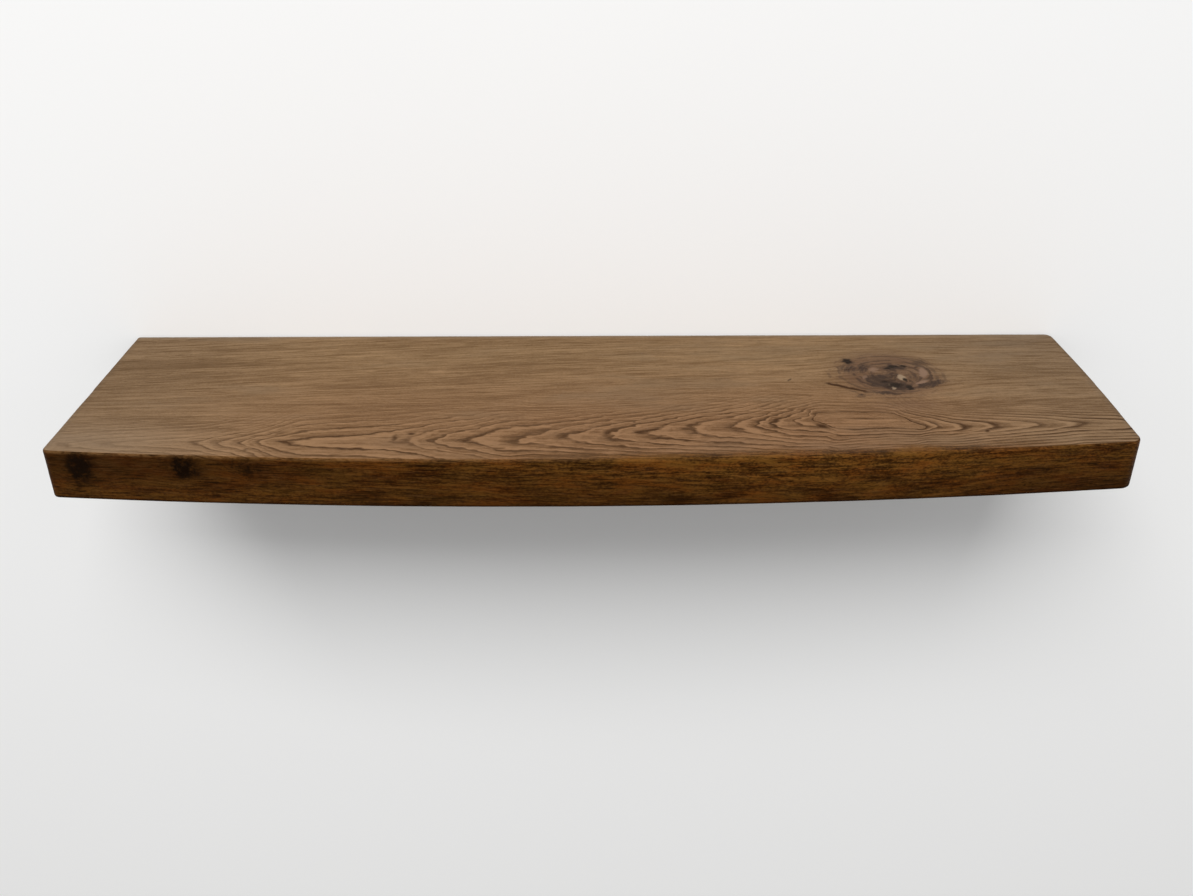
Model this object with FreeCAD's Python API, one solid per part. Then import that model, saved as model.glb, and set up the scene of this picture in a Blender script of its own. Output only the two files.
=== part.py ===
import FreeCAD, Part
import math
import os
from FreeCAD import Vector

# A floating wall shelf: one thick oak board that slides onto three steel rods. The rods stand out
# of a flat bar that is screwed to the wall and lies in a recess in the back of the board.
#
# Frame, in millimetres: the wall is the plane y = 0 and the room is on its -Y side. The origin is
# the centre of the bar's back face, +X runs along the shelf to the viewer's right, +Z is up.

# Driving dimensions: the board
board_length = 900.0
board_thickness = 45.0
left_end_depth = 229.0
right_end_depth = 218.0
front_bow = 22.0              # rise of the front curve above the line between its two ends
right_end_belly = 2.2         # rise of the right end's curve
right_end_back_set = 4.0      # how far the right end's back corner stands in
back_left_radius = 3.0
back_right_radius = 8.0
front_corner_radius = 4.5
edge_ease = 2.5

# The bar on the wall
bar_end_inset = 60.0          # from the board's end to the bar's end
bar_height = 30.0
bar_thickness = 6.0
bar_corner_radius = 5.0

# The rods that stand out of the bar, one at its middle and one near each end
outer_rod_inset = 90.0        # from the bar's end to the outer rod's axis
rod_diameter = 12.0
rod_reach = 160.0             # from the bar's front face to the rod's tip
rod_tip_chamfer = 1.5
tenon_diameter = 10.0
tenon_setback = 1.0           # how far the tenon stops short of the bar's back face
weld_leg = 4.0
weld_crown = 0.5              # how far the bead's face bulges

# The screws that hold the bar, a pair at each rod
screw_offset = 45.0           # from the rod's axis to the screw's axis
screw_diameter = 5.0
screw_length = 50.0
screw_head_diameter = 10.0
screw_point_length = 6.0
screw_sink = 0.2              # how far the head lies below the bar's front face
drive_slot_width = 1.1
drive_slot_length = 5.5
drive_slot_depth = 1.8

# The plugs in the wall
plug_diameter = 8.0
plug_length = 40.0
plug_depth_in_wall = 3.0      # the mouth lies this far behind the wall's face
plug_nose_taper = 3.0
plug_slit_width = 1.0
plug_slit_turn = 45.0         # degrees from the upright and level planes
plug_collar_length = 9.0      # the part of the plug that isn't slit

# The lock screws, which press on the outer rods from beneath
lock_setback = 60.0           # from the wall's face to the screw's axis
lock_screw_diameter = 6.0
lock_screw_length = 12.0
lock_point_chamfer = 1.2
lock_hex_width = 3.0
lock_hex_depth = 4.0
insert_diameter = 10.0
insert_length = 11.0
insert_web = 2.0              # wood left between the insert and the rod's bore

# Fits and clearances
recess_end_gap = 1.5          # between the bar's end and the end of its recess
recess_side_gap = 0.6         # above and below the bar
recess_floor_gap = 0.6        # in front of the bar
cutter_radius = 6.0           # radius that the router leaves in the recess's corners
rod_bore_gap = 0.5            # round a rod
rod_end_gap = 3.0             # in front of a rod's tip
weld_gap = 1.0                # round a weld bead
screw_hole_gap = 0.3          # round a screw's shank in the bar
screw_seat_gap = 0.05         # under a screw's head
plug_bore_gap = 0.05          # round a screw's shank in its plug
lock_thread_gap = 0.1         # between a lock screw and its insert
lock_tip_gap = 0.3            # between a lock screw's point and its rod
lock_hole_gap = 0.5           # round a lock screw above its insert

# Angles
countersink_half_angle = 45.0
drill_half_angle = 59.0

# Derived places
bar_length = board_length - 2 * bar_end_inset
outer_rod = bar_length / 2 - outer_rod_inset
rod_places = {"left": -outer_rod, "centre": 0.0, "right": outer_rod}
lock_places = {"left": -outer_rod, "right": outer_rod}
screw_places = [x + side * screw_offset for x in rod_places.values() for side in (-1, 1)]
half_thickness = board_thickness / 2
rod_radius = rod_diameter / 2
bore_radius = rod_radius + rod_bore_gap
bar_front = -bar_thickness
rod_tip = bar_front - rod_reach
recess_floor = bar_front - recess_floor_gap
insert_top = -(bore_radius + insert_web)
insert_bottom = insert_top - insert_length
lock_tip = -(rod_radius + lock_tip_gap)

same_place = 0.01             # points nearer than this are one point
hexagon_sides = 6
WALLWARD = Vector(0, 1, 0)
ROOMWARD = Vector(0, -1, 0)
UP = Vector(0, 0, 1)


def ring_of_revolution(points, axis_point, axis):
    """A solid turned about an axis from a closed outline of straight sides."""
    outline = Part.makePolygon(points + [points[0]])
    return Part.Face(outline).revolve(axis_point, axis, 360)


def rounded_plate(length, height, depth, radius, front):
    """A plate in the XZ plane with round corners, from y = front towards the wall."""
    plate = Part.makeBox(length, depth, height, Vector(-length / 2, front, -height / 2))
    corners = [e for e in plate.Edges if abs(e.tangentAt(e.FirstParameter).y) > 0.99]
    return plate.makeFillet(radius, corners)


def board_blank():
    """The slab with its curved front, its curved right end and every arris eased."""
    half = board_length / 2
    bottom = -half_thickness
    back_left = Vector(-half, 0, bottom)
    front_left = Vector(-half, -left_end_depth, bottom)
    front_middle = Vector(0, -(left_end_depth + right_end_depth) / 2 - front_bow, bottom)
    front_right = Vector(half, -right_end_depth, bottom)
    back_right = Vector(half - right_end_back_set, 0, bottom)
    end_middle_x = (front_right.x + back_right.x) / 2 + right_end_belly
    end_middle = Vector(end_middle_x, -right_end_depth / 2, bottom)
    outline = Part.Wire([
        Part.LineSegment(back_left, front_left).toShape(),
        Part.Arc(front_left, front_middle, front_right).toShape(),
        Part.Arc(front_right, end_middle, back_right).toShape(),
        Part.LineSegment(back_right, back_left).toShape(),
    ])
    slab = Part.Face(outline).extrude(UP * board_thickness)

    corner_radii = [
        (back_left, back_left_radius),
        (back_right, back_right_radius),
        (front_left, front_corner_radius),
        (front_right, front_corner_radius),
    ]
    for corner, radius in corner_radii:
        middle = corner + UP * half_thickness
        upright = [e for e in slab.Edges if e.CenterOfMass.distanceToPoint(middle) < same_place]
        slab = slab.makeFillet(radius, upright)

    arrises = [e for e in slab.Edges if abs(abs(e.CenterOfMass.z) - half_thickness) < same_place]
    return slab.makeFillet(edge_ease, arrises)


def rod_bore(x):
    """The cutter for one rod: a drilled bore with a wide mouth that clears the weld."""
    mouth_radius = rod_radius + weld_leg + weld_gap
    mouth_depth = mouth_radius - bore_radius
    bore_end = rod_tip - rod_end_gap
    point = bore_radius / math.tan(math.radians(drill_half_angle))
    profile = [
        Vector(x, 0, 0),
        Vector(x + mouth_radius, 0, 0),
        Vector(x + mouth_radius, recess_floor, 0),
        Vector(x + bore_radius, recess_floor - mouth_depth, 0),
        Vector(x + bore_radius, bore_end, 0),
        Vector(x, bore_end - point, 0),
    ]
    return ring_of_revolution(profile, Vector(x, 0, 0), ROOMWARD)


def lock_hole(x):
    """The cutter for one lock screw: the insert's hole from beneath and the screw's way above it."""
    place = Vector(x, -lock_setback, 0)
    depth = half_thickness + insert_top
    wide = Part.makeCylinder(insert_diameter / 2, depth, place - UP * half_thickness, UP)
    narrow_radius = lock_screw_diameter / 2 + lock_hole_gap
    narrow = Part.makeCylinder(narrow_radius, half_thickness, place - UP * half_thickness, UP)
    return wide.fuse(narrow)


def oak_board():
    """The slab with the bar's recess, the three rod bores and the two lock holes."""
    recess = rounded_plate(
        bar_length + 2 * recess_end_gap,
        bar_height + 2 * recess_side_gap,
        2 * bar_thickness,
        cutter_radius,
        recess_floor,
    )
    cutters = [rod_bore(x) for x in rod_places.values()]
    cutters += [lock_hole(x) for x in lock_places.values()]
    board = board_blank().cut(recess)
    for cutter in cutters:
        board = board.cut(cutter)
    return board


def countersunk_profile(x, shank_radius, head_radius, face, end):
    """Half the outline of a hole or screw with a countersunk head at y = face."""
    slope = math.tan(math.radians(countersink_half_angle))
    neck = face + (head_radius - shank_radius) / slope
    return [
        Vector(x, face, 0),
        Vector(x + head_radius, face, 0),
        Vector(x + shank_radius, neck, 0),
        Vector(x + shank_radius, end, 0),
        Vector(x, end, 0),
    ]


def bracket_bar():
    """The flat bar with a hole for each tenon and a countersunk hole for each screw."""
    bar = rounded_plate(bar_length, bar_height, bar_thickness, bar_corner_radius, bar_front)
    for x in rod_places.values():
        bar = bar.cut(Part.makeCylinder(tenon_diameter / 2, bar_thickness, Vector(x, 0, 0), ROOMWARD))
    for x in screw_places:
        hole = countersunk_profile(
            x,
            screw_diameter / 2 + screw_hole_gap,
            screw_head_diameter / 2 + screw_seat_gap + screw_sink,
            bar_front,
            bar_thickness,
        )
        bar = bar.cut(ring_of_revolution(hole, Vector(x, 0, 0), WALLWARD))
    return bar


def support_rod(x):
    """A rod with a shoulder against the bar, a tenon through it and a chamfered tip."""
    profile = [
        Vector(x, -tenon_setback, 0),
        Vector(x + tenon_diameter / 2, -tenon_setback, 0),
        Vector(x + tenon_diameter / 2, bar_front, 0),
        Vector(x + rod_radius, bar_front, 0),
        Vector(x + rod_radius, rod_tip + rod_tip_chamfer, 0),
        Vector(x + rod_radius - rod_tip_chamfer, rod_tip, 0),
        Vector(x, rod_tip, 0),
    ]
    return ring_of_revolution(profile, Vector(x, 0, 0), ROOMWARD)


def rod_weld(x):
    """The bead that runs round a rod where it meets the bar, with a slightly bulged face."""
    root = Vector(x + rod_radius, bar_front, 0)
    on_bar = root + Vector(weld_leg, 0, 0)
    on_rod = root + Vector(0, -weld_leg, 0)
    outward = Vector(1, -1, 0).normalize()
    crown = (on_bar + on_rod) * 0.5 + outward * weld_crown
    section = Part.Wire([
        Part.LineSegment(root, on_bar).toShape(),
        Part.Arc(on_bar, crown, on_rod).toShape(),
        Part.LineSegment(on_rod, root).toShape(),
    ])
    return Part.Face(section).revolve(Vector(x, 0, 0), ROOMWARD, 360)


def wall_screw(x):
    """A countersunk screw with a cross in its head and a point on its end."""
    radius = screw_diameter / 2
    face = bar_front + screw_sink
    tip = face + screw_length
    profile = countersunk_profile(x, radius, screw_head_diameter / 2, face, tip - screw_point_length)
    profile[-1] = Vector(x, tip, 0)
    screw = ring_of_revolution(profile, Vector(x, 0, 0), WALLWARD)
    slot_sizes = ((drive_slot_length, drive_slot_width), (drive_slot_width, drive_slot_length))
    for size_x, size_z in slot_sizes:
        corner = Vector(x - size_x / 2, face, -size_z / 2)
        screw = screw.cut(Part.makeBox(size_x, drive_slot_depth, size_z, corner))
    return screw


def wall_plug(x):
    """A nylon plug: a tube with a tapered nose, slit four ways behind its collar."""
    outer = plug_diameter / 2
    inner = screw_diameter / 2 + plug_bore_gap
    mouth = plug_depth_in_wall
    end = mouth + plug_length
    nose = (outer + inner) / 2
    profile = [
        Vector(x + inner, mouth, 0),
        Vector(x + outer, mouth, 0),
        Vector(x + outer, end - plug_nose_taper, 0),
        Vector(x + nose, end, 0),
        Vector(x + inner, end, 0),
    ]
    plug = ring_of_revolution(profile, Vector(x, 0, 0), WALLWARD)
    slit_start = mouth + plug_collar_length
    slit_length = plug_length - plug_collar_length - plug_nose_taper
    for size_x, size_z in ((plug_diameter, plug_slit_width), (plug_slit_width, plug_diameter)):
        corner = Vector(x - size_x / 2, slit_start, -size_z / 2)
        slit = Part.makeBox(size_x, slit_length, size_z, corner)
        slit.rotate(Vector(x, 0, 0), WALLWARD, plug_slit_turn)
        plug = plug.cut(slit)
    return plug


def lock_insert(x):
    """A threaded sleeve, pressed into the board from beneath."""
    place = Vector(x, -lock_setback, insert_bottom)
    sleeve = Part.makeCylinder(insert_diameter / 2, insert_length, place, UP)
    thread_radius = lock_screw_diameter / 2 + lock_thread_gap
    return sleeve.cut(Part.makeCylinder(thread_radius, insert_length, place, UP))


def lock_screw(x):
    """A headless set screw with a chamfered point and a hexagon socket beneath."""
    centre = Vector(x, -lock_setback, 0)
    radius = lock_screw_diameter / 2
    bottom = lock_tip - lock_screw_length
    profile = [
        centre + UP * bottom,
        centre + Vector(radius, 0, bottom),
        centre + Vector(radius, 0, lock_tip - lock_point_chamfer),
        centre + Vector(radius - lock_point_chamfer, 0, lock_tip),
        centre + UP * lock_tip,
    ]
    screw = ring_of_revolution(profile, centre, UP)
    corner_radius = lock_hex_width / 2 / math.cos(math.pi / hexagon_sides)
    corners = []
    for step in range(hexagon_sides + 1):
        turn = 2 * math.pi * step / hexagon_sides
        across = Vector(corner_radius * math.cos(turn), corner_radius * math.sin(turn), bottom)
        corners.append(centre + across)
    socket = Part.Face(Part.makePolygon(corners)).extrude(UP * lock_hex_depth)
    return screw.cut(socket)


def make_nodes():
    """Every node's name and shape."""
    nodes = {"oak_board": oak_board(), "bracket_bar": bracket_bar()}
    for side, x in rod_places.items():
        nodes["support_rod_" + side] = support_rod(x)
        nodes["rod_weld_" + side] = rod_weld(x)
    for number, x in enumerate(screw_places, start=1):
        nodes["wall_screw_%d" % number] = wall_screw(x)
        nodes["wall_plug_%d" % number] = wall_plug(x)
    for side, x in lock_places.items():
        nodes["lock_insert_" + side] = lock_insert(x)
        nodes["lock_screw_" + side] = lock_screw(x)
    return nodes


os.makedirs("parts", exist_ok=True)
for name, shape in make_nodes().items():
    solid = shape.Solids[0]
    if len(shape.Solids) != 1 or not solid.isValid():
        raise ValueError("%s is not one sound solid" % name)
    solid.exportStep("parts/%s.step" % name)
    print("%-22s %12.1f mm3" % (name, solid.Volume))
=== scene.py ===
import math

import bmesh
import bpy
import numpy as np
from bpy.props import FloatProperty, FloatVectorProperty, PointerProperty
from bpy.types import Operator, Panel, PropertyGroup
from mathutils import Matrix, Vector, noise


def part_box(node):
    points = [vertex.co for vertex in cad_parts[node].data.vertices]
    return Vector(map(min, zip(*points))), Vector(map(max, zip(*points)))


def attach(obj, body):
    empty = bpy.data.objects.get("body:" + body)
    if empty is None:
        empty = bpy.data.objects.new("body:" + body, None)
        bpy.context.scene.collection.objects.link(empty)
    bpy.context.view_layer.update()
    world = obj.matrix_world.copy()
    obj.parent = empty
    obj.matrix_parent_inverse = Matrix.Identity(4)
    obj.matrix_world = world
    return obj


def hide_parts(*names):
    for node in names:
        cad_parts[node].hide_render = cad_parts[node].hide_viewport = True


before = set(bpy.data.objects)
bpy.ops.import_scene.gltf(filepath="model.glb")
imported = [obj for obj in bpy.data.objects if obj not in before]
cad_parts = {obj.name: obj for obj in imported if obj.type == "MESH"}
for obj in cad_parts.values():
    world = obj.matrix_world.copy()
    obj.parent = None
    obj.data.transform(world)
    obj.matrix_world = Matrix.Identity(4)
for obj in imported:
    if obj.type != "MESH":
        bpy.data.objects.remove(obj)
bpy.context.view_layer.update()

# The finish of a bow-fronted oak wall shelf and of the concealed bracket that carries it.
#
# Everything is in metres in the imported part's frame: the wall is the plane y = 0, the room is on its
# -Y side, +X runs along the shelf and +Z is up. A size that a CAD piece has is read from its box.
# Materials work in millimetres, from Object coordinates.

bl_info = {
    "name": "Oak wall shelf",
    "version": (1, 0, 0),
    "blender": (4, 5, 0),
    "location": "3D View > Sidebar > Oak Shelf",
    "description": "Builds the oak board, its concealed bracket and a plain stage",
    "category": "Add Mesh",
}

MM = 0.001
RODS = ["support_rod_left", "support_rod_centre", "support_rod_right"]
WELDS = ["rod_weld_left", "rod_weld_centre", "rod_weld_right"]
SCREWS = ["wall_screw_%d" % number for number in range(1, 7)]
PLUGS = ["wall_plug_%d" % number for number in range(1, 7)]
INSERTS = ["lock_insert_left", "lock_insert_right"]
LOCK_SCREWS = {"lock_screw_left": "lock_left", "lock_screw_right": "lock_right"}


# ------------------------------------------------------------------ settings

def length(name, default, description):
    """A size in metres."""
    return FloatProperty(name=name, description=description, default=default, min=0.0,
                         subtype="DISTANCE", unit="LENGTH", precision=5)


def share(name, default, description):
    """A plain number."""
    return FloatProperty(name=name, description=description, default=default)


def colour(name, default, description):
    """A colour in scene-linear values."""
    return FloatVectorProperty(name=name, description=description, default=default,
                               subtype="COLOR", min=0.0, max=1.0)


def turn(name, degrees, description):
    """An angle."""
    return FloatProperty(name=name, description=description, default=math.radians(degrees),
                         subtype="ANGLE", unit="ROTATION")


class BoardShape(PropertyGroup):
    """The oak board's outline, its eased arrises and what is machined into it."""
    left_depth: length("Left depth", 0.229, "Depth of the board at its left end")
    right_depth: length("Right depth", 0.218, "Depth of the board at its right end")
    front_bow: length("Front bow", 0.02199, "Rise of the front curve above the line of its ends")
    end_belly: length("End belly", 0.00215, "Rise of the right end's curve")
    end_set_back: length("End set back", 0.004, "How far the right end's back corner stands in")
    back_left_radius: length("Back left radius", 0.003, "Upright corner radius")
    back_right_radius: length("Back right radius", 0.008, "Upright corner radius")
    front_left_radius: length("Front left radius", 0.0065, "Upright corner radius")
    front_right_radius: length("Front right radius", 0.0105, "Upright corner radius")
    ease: length("Ease", 0.0025, "Radius of the top's eased arrises")
    low_ease: length("Low ease", 0.0012, "Radius of the arrises beneath")
    ease_change: length("Ease change", 0.0009, "How much hand work varies that radius")
    edge_waver: length("Edge waver", 0.0008, "How far the top arris wanders in and out")
    surface_waver: length("Surface waver", 0.00025, "Depth of the hollows left by hand planing")
    mesh_step: length("Mesh step", 0.004, "Widest spacing of the mesh's lines")
    edge_step: length("Edge step", 0.0005, "Spacing of the mesh's lines at an arris")
    recess_end_gap: length("Recess end gap", 0.0015, "Gap past each end of the bar")
    recess_side_gap: length("Recess side gap", 0.0006, "Gap above and below the bar")
    recess_floor_gap: length("Recess floor gap", 0.0006, "Gap in front of the bar")
    router_radius: length("Router radius", 0.006, "Corner radius of the recess")
    rod_gap: length("Rod gap", 0.0005, "Gap round a rod in its bore")
    rod_end_gap: length("Rod end gap", 0.003, "Gap past a rod's tip")
    weld_gap: length("Weld gap", 0.001, "Gap round a weld bead")
    lock_gap: length("Lock gap", 0.0005, "Gap round a lock screw above its insert")


class OakFinish(PropertyGroup):
    """The stained oak's colours and figure."""
    # The top's colours are painted paler than the edges' colours. Partly this is rubbing, partly painted
    # light for the stronger light from above.
    top_light: colour("Top light", (0.306, 0.178, 0.087), "Palest wood of the rubbed top")
    top_brown: colour("Top brown", (0.165, 0.088, 0.038), "Main colour of the rubbed top")
    top_grey: colour("Top grey", (0.177, 0.110, 0.060), "Greyer wood in the top's clouds")
    # A painted sheen along the rear arris. The same pale colour is also laid at the top's front left corner.
    top_pale_sheen: colour("Top rear", (0.215, 0.153, 0.101), "Paler wood along the rear arris")
    # A painted sheen: cool and pale where the top reflects the wall.
    rear_sheen_tint: colour("Rear tint", (0.905, 0.965, 1.000), "Multiplies the top's colour at the wall")
    front_tint: colour("Front tint", (0.795, 0.742, 0.750), "Multiplies it behind the front arris")
    end_tint: colour("End tint", (0.600, 0.700, 0.880), "Multiplies it at the board's ends")
    top_dark: colour("Top dark", (0.040, 0.017, 0.006), "Ring lines and pores of the top")
    # A pale colour for the rubbed top arris, which is partly a painted highlight, and for the painted sheen
    # streaks on the edges.
    edge_rub_and_sheen: colour("Edge rubbed", (0.150, 0.075, 0.028), "Where the top arris is rubbed")
    edge_light: colour("Edge light", (0.137, 0.0535, 0.0090), "Palest wood of the stained edges")
    edge_brown: colour("Edge brown", (0.032, 0.0105, 0.0018), "Main colour of the stained edges")
    edge_dark: colour("Edge dark", (0.0035, 0.0012, 0.0004), "Ring lines and pores of the edges")
    edge_red: colour("Edge red", (1.000, 0.845, 0.740), "Multiplies the edges' redder wood")
    edge_olive: colour("Edge olive", (0.925, 0.990, 1.000), "Multiplies the edges' greener wood")
    # The underside's colours are painted lighter than the edges' stain. This is painted light, for the little
    # light that reaches it from below.
    under_light: colour("Under light", (0.170, 0.092, 0.042), "Palest wood of the underside")
    under_brown: colour("Under brown", (0.078, 0.037, 0.015), "Main colour of the underside")
    knot_char: colour("Knot char", (0.014, 0.009, 0.006), "Darkest marks in a knot")
    knot_dark: colour("Knot dark", (0.042, 0.025, 0.017), "Heart of a knot")
    knot_halo: colour("Knot halo", (0.096, 0.050, 0.031), "Reddish wood round a knot")
    knot_pink: colour("Knot pink", (0.205, 0.125, 0.082), "Pinkish wood in a knot")
    knot_fleck: colour("Knot fleck", (0.255, 0.180, 0.115), "Pale flecks in a knot")
    bare_light: colour("Bare light", (0.560, 0.380, 0.200), "Unstained wood in the recess")
    bare_dark: colour("Bare dark", (0.300, 0.170, 0.075), "Its ring lines and pores")


class FittingFinish(PropertyGroup):
    """The bracket's and the fasteners' finishes."""
    coat: colour("Coat", (0.022, 0.022, 0.024), "Black powder coat")
    coat_speck: colour("Coat speck", (0.045, 0.045, 0.048), "Paler grains in the powder coat")
    dust: colour("Dust", (0.300, 0.250, 0.190), "Fine wood dust")
    steel: colour("Steel", (0.48, 0.47, 0.45), "Steel that shows where the coat is rubbed off")
    steel_dark: colour("Steel dark", (0.24, 0.225, 0.21), "Duller steel")
    zinc: colour("Zinc", (0.66, 0.67, 0.68), "Bright zinc plate")
    zinc_dark: colour("Zinc dark", (0.30, 0.30, 0.29), "Zinc plate in hollows")
    nylon: colour("Nylon", (0.36, 0.37, 0.38), "Grey nylon")
    nylon_dark: colour("Nylon dark", (0.25, 0.26, 0.27), "Darker clouds in the nylon")
    nylon_pale: colour("Nylon pale", (0.52, 0.53, 0.53), "Scuffed nylon")
    brass: colour("Brass", (0.72, 0.50, 0.19), "Turned brass")
    brass_dark: colour("Brass dark", (0.30, 0.17, 0.055), "Tarnished brass")
    oxide: colour("Oxide", (0.115, 0.112, 0.115), "Black oxide, rubbed")
    oxide_dark: colour("Oxide dark", (0.030, 0.028, 0.027), "Black oxide in hollows")


class FittingSizes(PropertyGroup):
    """Sizes of the threads, ribs and beads that the bracket and its fasteners have."""
    screw_pitch: length("Screw pitch", 0.0022, "Pitch of the wall screws' thread")
    screw_thread: length("Screw thread", 0.0008, "Depth of that thread")
    plug_pitch: length("Plug pitch", 0.0026, "Spacing of the plugs' rings")
    plug_rib: length("Plug rib", 0.00055, "Depth of the grooves between them")
    lock_pitch: length("Lock pitch", 0.001, "Pitch of the lock screws' thread")
    lock_thread: length("Lock thread", 0.00052, "Depth of that thread")
    insert_pitch: length("Insert pitch", 0.0022, "Pitch of the inserts' outer thread")
    insert_thread: length("Insert thread", 0.0008, "Depth of that thread")
    weld_ripple: length("Weld ripple", 0.00035, "Height of the ripples along a weld bead")


class StageSetup(PropertyGroup):
    """The camera, the plain room and its light."""
    camera_place: FloatVectorProperty(name="Camera place", description="Where the camera stands",
                                      default=(0.00954, -1.04583, 0.48140), subtype="TRANSLATION",
                                      unit="LENGTH")
    pitch: turn("Pitch", 29.2695, "How far the camera looks down")
    yaw: turn("Yaw", -0.4685, "How far the camera looks to the right")
    roll: turn("Roll", -0.3713, "How far the camera leans")
    lens: FloatProperty(name="Lens", description="Focal length", default=34.924, subtype="DISTANCE_CAMERA")
    wall: colour("Wall", (0.88, 0.88, 0.875), "Matt wall")
    floor: colour("Floor", (0.66, 0.66, 0.655), "Matt floor")
    sky: colour("Sky", (1.0, 1.0, 1.0), "Colour of the even light from all round")
    sky_strength: share("Sky strength", 0.66, "Strength of the even light from above")
    low_strength: share("Low strength", 0.28, "Strength of the even light from below")
    lamp_power: share("Lamp power", 230.0, "Power of the soft lamp in watts")


# ------------------------------------------------------------------ node trees

FLOAT, VECTOR = "NodeSocketFloat", "NodeSocketVector"


class Tree:
    """Adds nodes to one shader or geometry tree."""

    def __init__(self, tree):
        self.tree = tree
        self.ends = {}

    def node(self, kind, feeds=None, **settings):
        """A new node, its settings, and its inputs by name or number."""
        made = self.tree.nodes.new(kind)
        for name, value in settings.items():
            setattr(made, name, value)
        for name, value in (feeds or {}).items():
            self.feed(made.inputs[name], value)
        return made

    def feed(self, socket, value):
        """Links a socket into an input, or sets the input's own value."""
        if isinstance(value, bpy.types.NodeSocket):
            self.tree.links.new(value, socket)
        elif socket.type == "RGBA" and len(value) == 3:
            socket.default_value = (*value, 1.0)
        else:
            socket.default_value = value

    def entry(self, name):
        """One of the group's own inputs."""
        if "in" not in self.ends:
            self.ends["in"] = self.tree.nodes.new("NodeGroupInput")
        return self.ends["in"].outputs[name]

    def give(self, **values):
        """Feeds the group's outputs, an underscore standing for a space."""
        if "out" not in self.ends:
            self.ends["out"] = self.tree.nodes.new("NodeGroupOutput")
        for name, value in values.items():
            self.feed(self.ends["out"].inputs[name.replace("_", " ")], value)

    def math(self, operation, *values, clamp=False):
        """One step of arithmetic."""
        feeds = dict(enumerate(values))
        return self.node("ShaderNodeMath", feeds, operation=operation, use_clamp=clamp).outputs[0]

    def fold(self, operation, values, clamp=False):
        """The same step through all the values in turn."""
        total = values[0]
        for number, value in enumerate(values[1:], 2):
            total = self.math(operation, total, value, clamp=clamp and number == len(values))
        return total

    def add(self, *values):
        """The sum of the values."""
        return self.fold("ADD", values)

    def times(self, *values):
        """Their product."""
        return self.fold("MULTIPLY", values)

    def most(self, *values, clamp=False):
        """The largest of them."""
        return self.fold("MAXIMUM", values, clamp)

    def minus(self, first, second):
        """A difference."""
        return self.math("SUBTRACT", first, second)

    def ratio(self, first, second):
        """A quotient."""
        return self.math("DIVIDE", first, second)

    def absolute(self, value):
        """A value without its sign."""
        return self.math("ABSOLUTE", value)

    def swing(self, noise, *amounts):
        """A noise's swing about its middle, times the amounts."""
        return self.times(self.minus(noise, 0.5), *amounts)

    def fall(self, value, width):
        """One where the value is nothing, falling away on both sides over about the width."""
        return self.math("EXPONENT", self.times(value, value, -1 / width ** 2))

    def length(self, first, second):
        """The long side of a right triangle."""
        return self.math("SQRT", self.add(self.times(first, first), self.times(second, second)))

    def vector(self, operation, *values):
        """One step of vector arithmetic."""
        feeds = dict(enumerate(values))
        return self.node("ShaderNodeVectorMath", feeds, operation=operation).outputs[0]

    def split(self, vector):
        """A vector's three parts."""
        return self.node("ShaderNodeSeparateXYZ", {0: vector}).outputs[:3]

    def join(self, x, y, z):
        """A vector of three parts."""
        return self.node("ShaderNodeCombineXYZ", {0: x, 1: y, 2: z}).outputs[0]

    def noise(self, vector, sizes=None, detail=2.0, roughness=0.5):
        """Noise centred near a half, as a value and a colour, its features of a size on each axis."""
        if sizes:
            vector = self.vector("DIVIDE", vector, sizes)
        feeds = {"Vector": vector, "Scale": 1.0, "Detail": detail, "Roughness": roughness}
        return self.node("ShaderNodeTexNoise", feeds).outputs

    def noise_along(self, value, detail=1.0):
        """Noise along one value."""
        feeds = {"W": value, "Scale": 1.0, "Detail": detail}
        return self.node("ShaderNodeTexNoise", feeds, noise_dimensions="1D").outputs[0]

    def smooth(self, value, low, high, to_low=0.0, to_high=1.0):
        """A smooth step from one value to another."""
        feeds = {"Value": value, "From Min": low, "From Max": high, "To Min": to_low, "To Max": to_high}
        return self.node("ShaderNodeMapRange", feeds, interpolation_type="SMOOTHSTEP").outputs[0]

    def between(self, value, low, high):
        """The value's place between two others, from none to one."""
        feeds = {"Value": value, "From Min": low, "From Max": high}
        return self.node("ShaderNodeMapRange", feeds).outputs[0]

    def blend(self, factor, first, second, mode="MIX"):
        """A mix of two colours."""
        made = self.node("ShaderNodeMix", data_type="RGBA", blend_type=mode)
        for number, value in ((0, factor), (6, first), (7, second)):
            self.feed(made.inputs[number], value)
        return made.outputs[2]

    def reach(self, x, y, place, radii, lean=0.0):
        """The square of how many radii a spot lies from a place."""
        across, along = self.minus(x, place[0]), self.minus(y, place[1])
        cos, sin = math.cos(math.radians(lean)), math.sin(math.radians(lean))
        u = self.add(self.times(across, cos / radii[0]), self.times(along, sin / radii[0]))
        v = self.add(self.times(across, -sin / radii[1]), self.times(along, cos / radii[1]))
        return self.add(self.times(u, u), self.times(v, v))

    def blot(self, x, y, place, radii, lean=0.0):
        """One at a place and falling to nothing away from it, over two radii."""
        return self.math("EXPONENT", self.times(self.reach(x, y, place, radii, lean), -1.0))

    def blots(self, x, y, marks):
        """The strongest of several blots."""
        best = 0.0
        for place, radii, lean, strength in marks:
            best = self.most(best, self.times(self.blot(x, y, place, radii, lean), strength))
        return best


def new_group(name, kind, inputs, outputs):
    """An empty node group with named sockets: each is a name, a type and, for an input, a value."""
    group = bpy.data.node_groups.new(name, kind)
    for label, socket_type, *value in inputs:
        socket = group.interface.new_socket(name=label, in_out="INPUT", socket_type=socket_type)
        if value:
            socket.default_value = value[0]
    for label, socket_type in outputs:
        group.interface.new_socket(name=label, in_out="OUTPUT", socket_type=socket_type)
    return group


def used(tree, group, **feeds):
    """The outputs of a node group placed in a tree, an underscore standing for a space."""
    node = tree.node("ShaderNodeGroup", node_tree=group)
    for name, value in feeds.items():
        tree.feed(node.inputs[name.replace("_", " ")], value)
    return node.outputs


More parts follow.
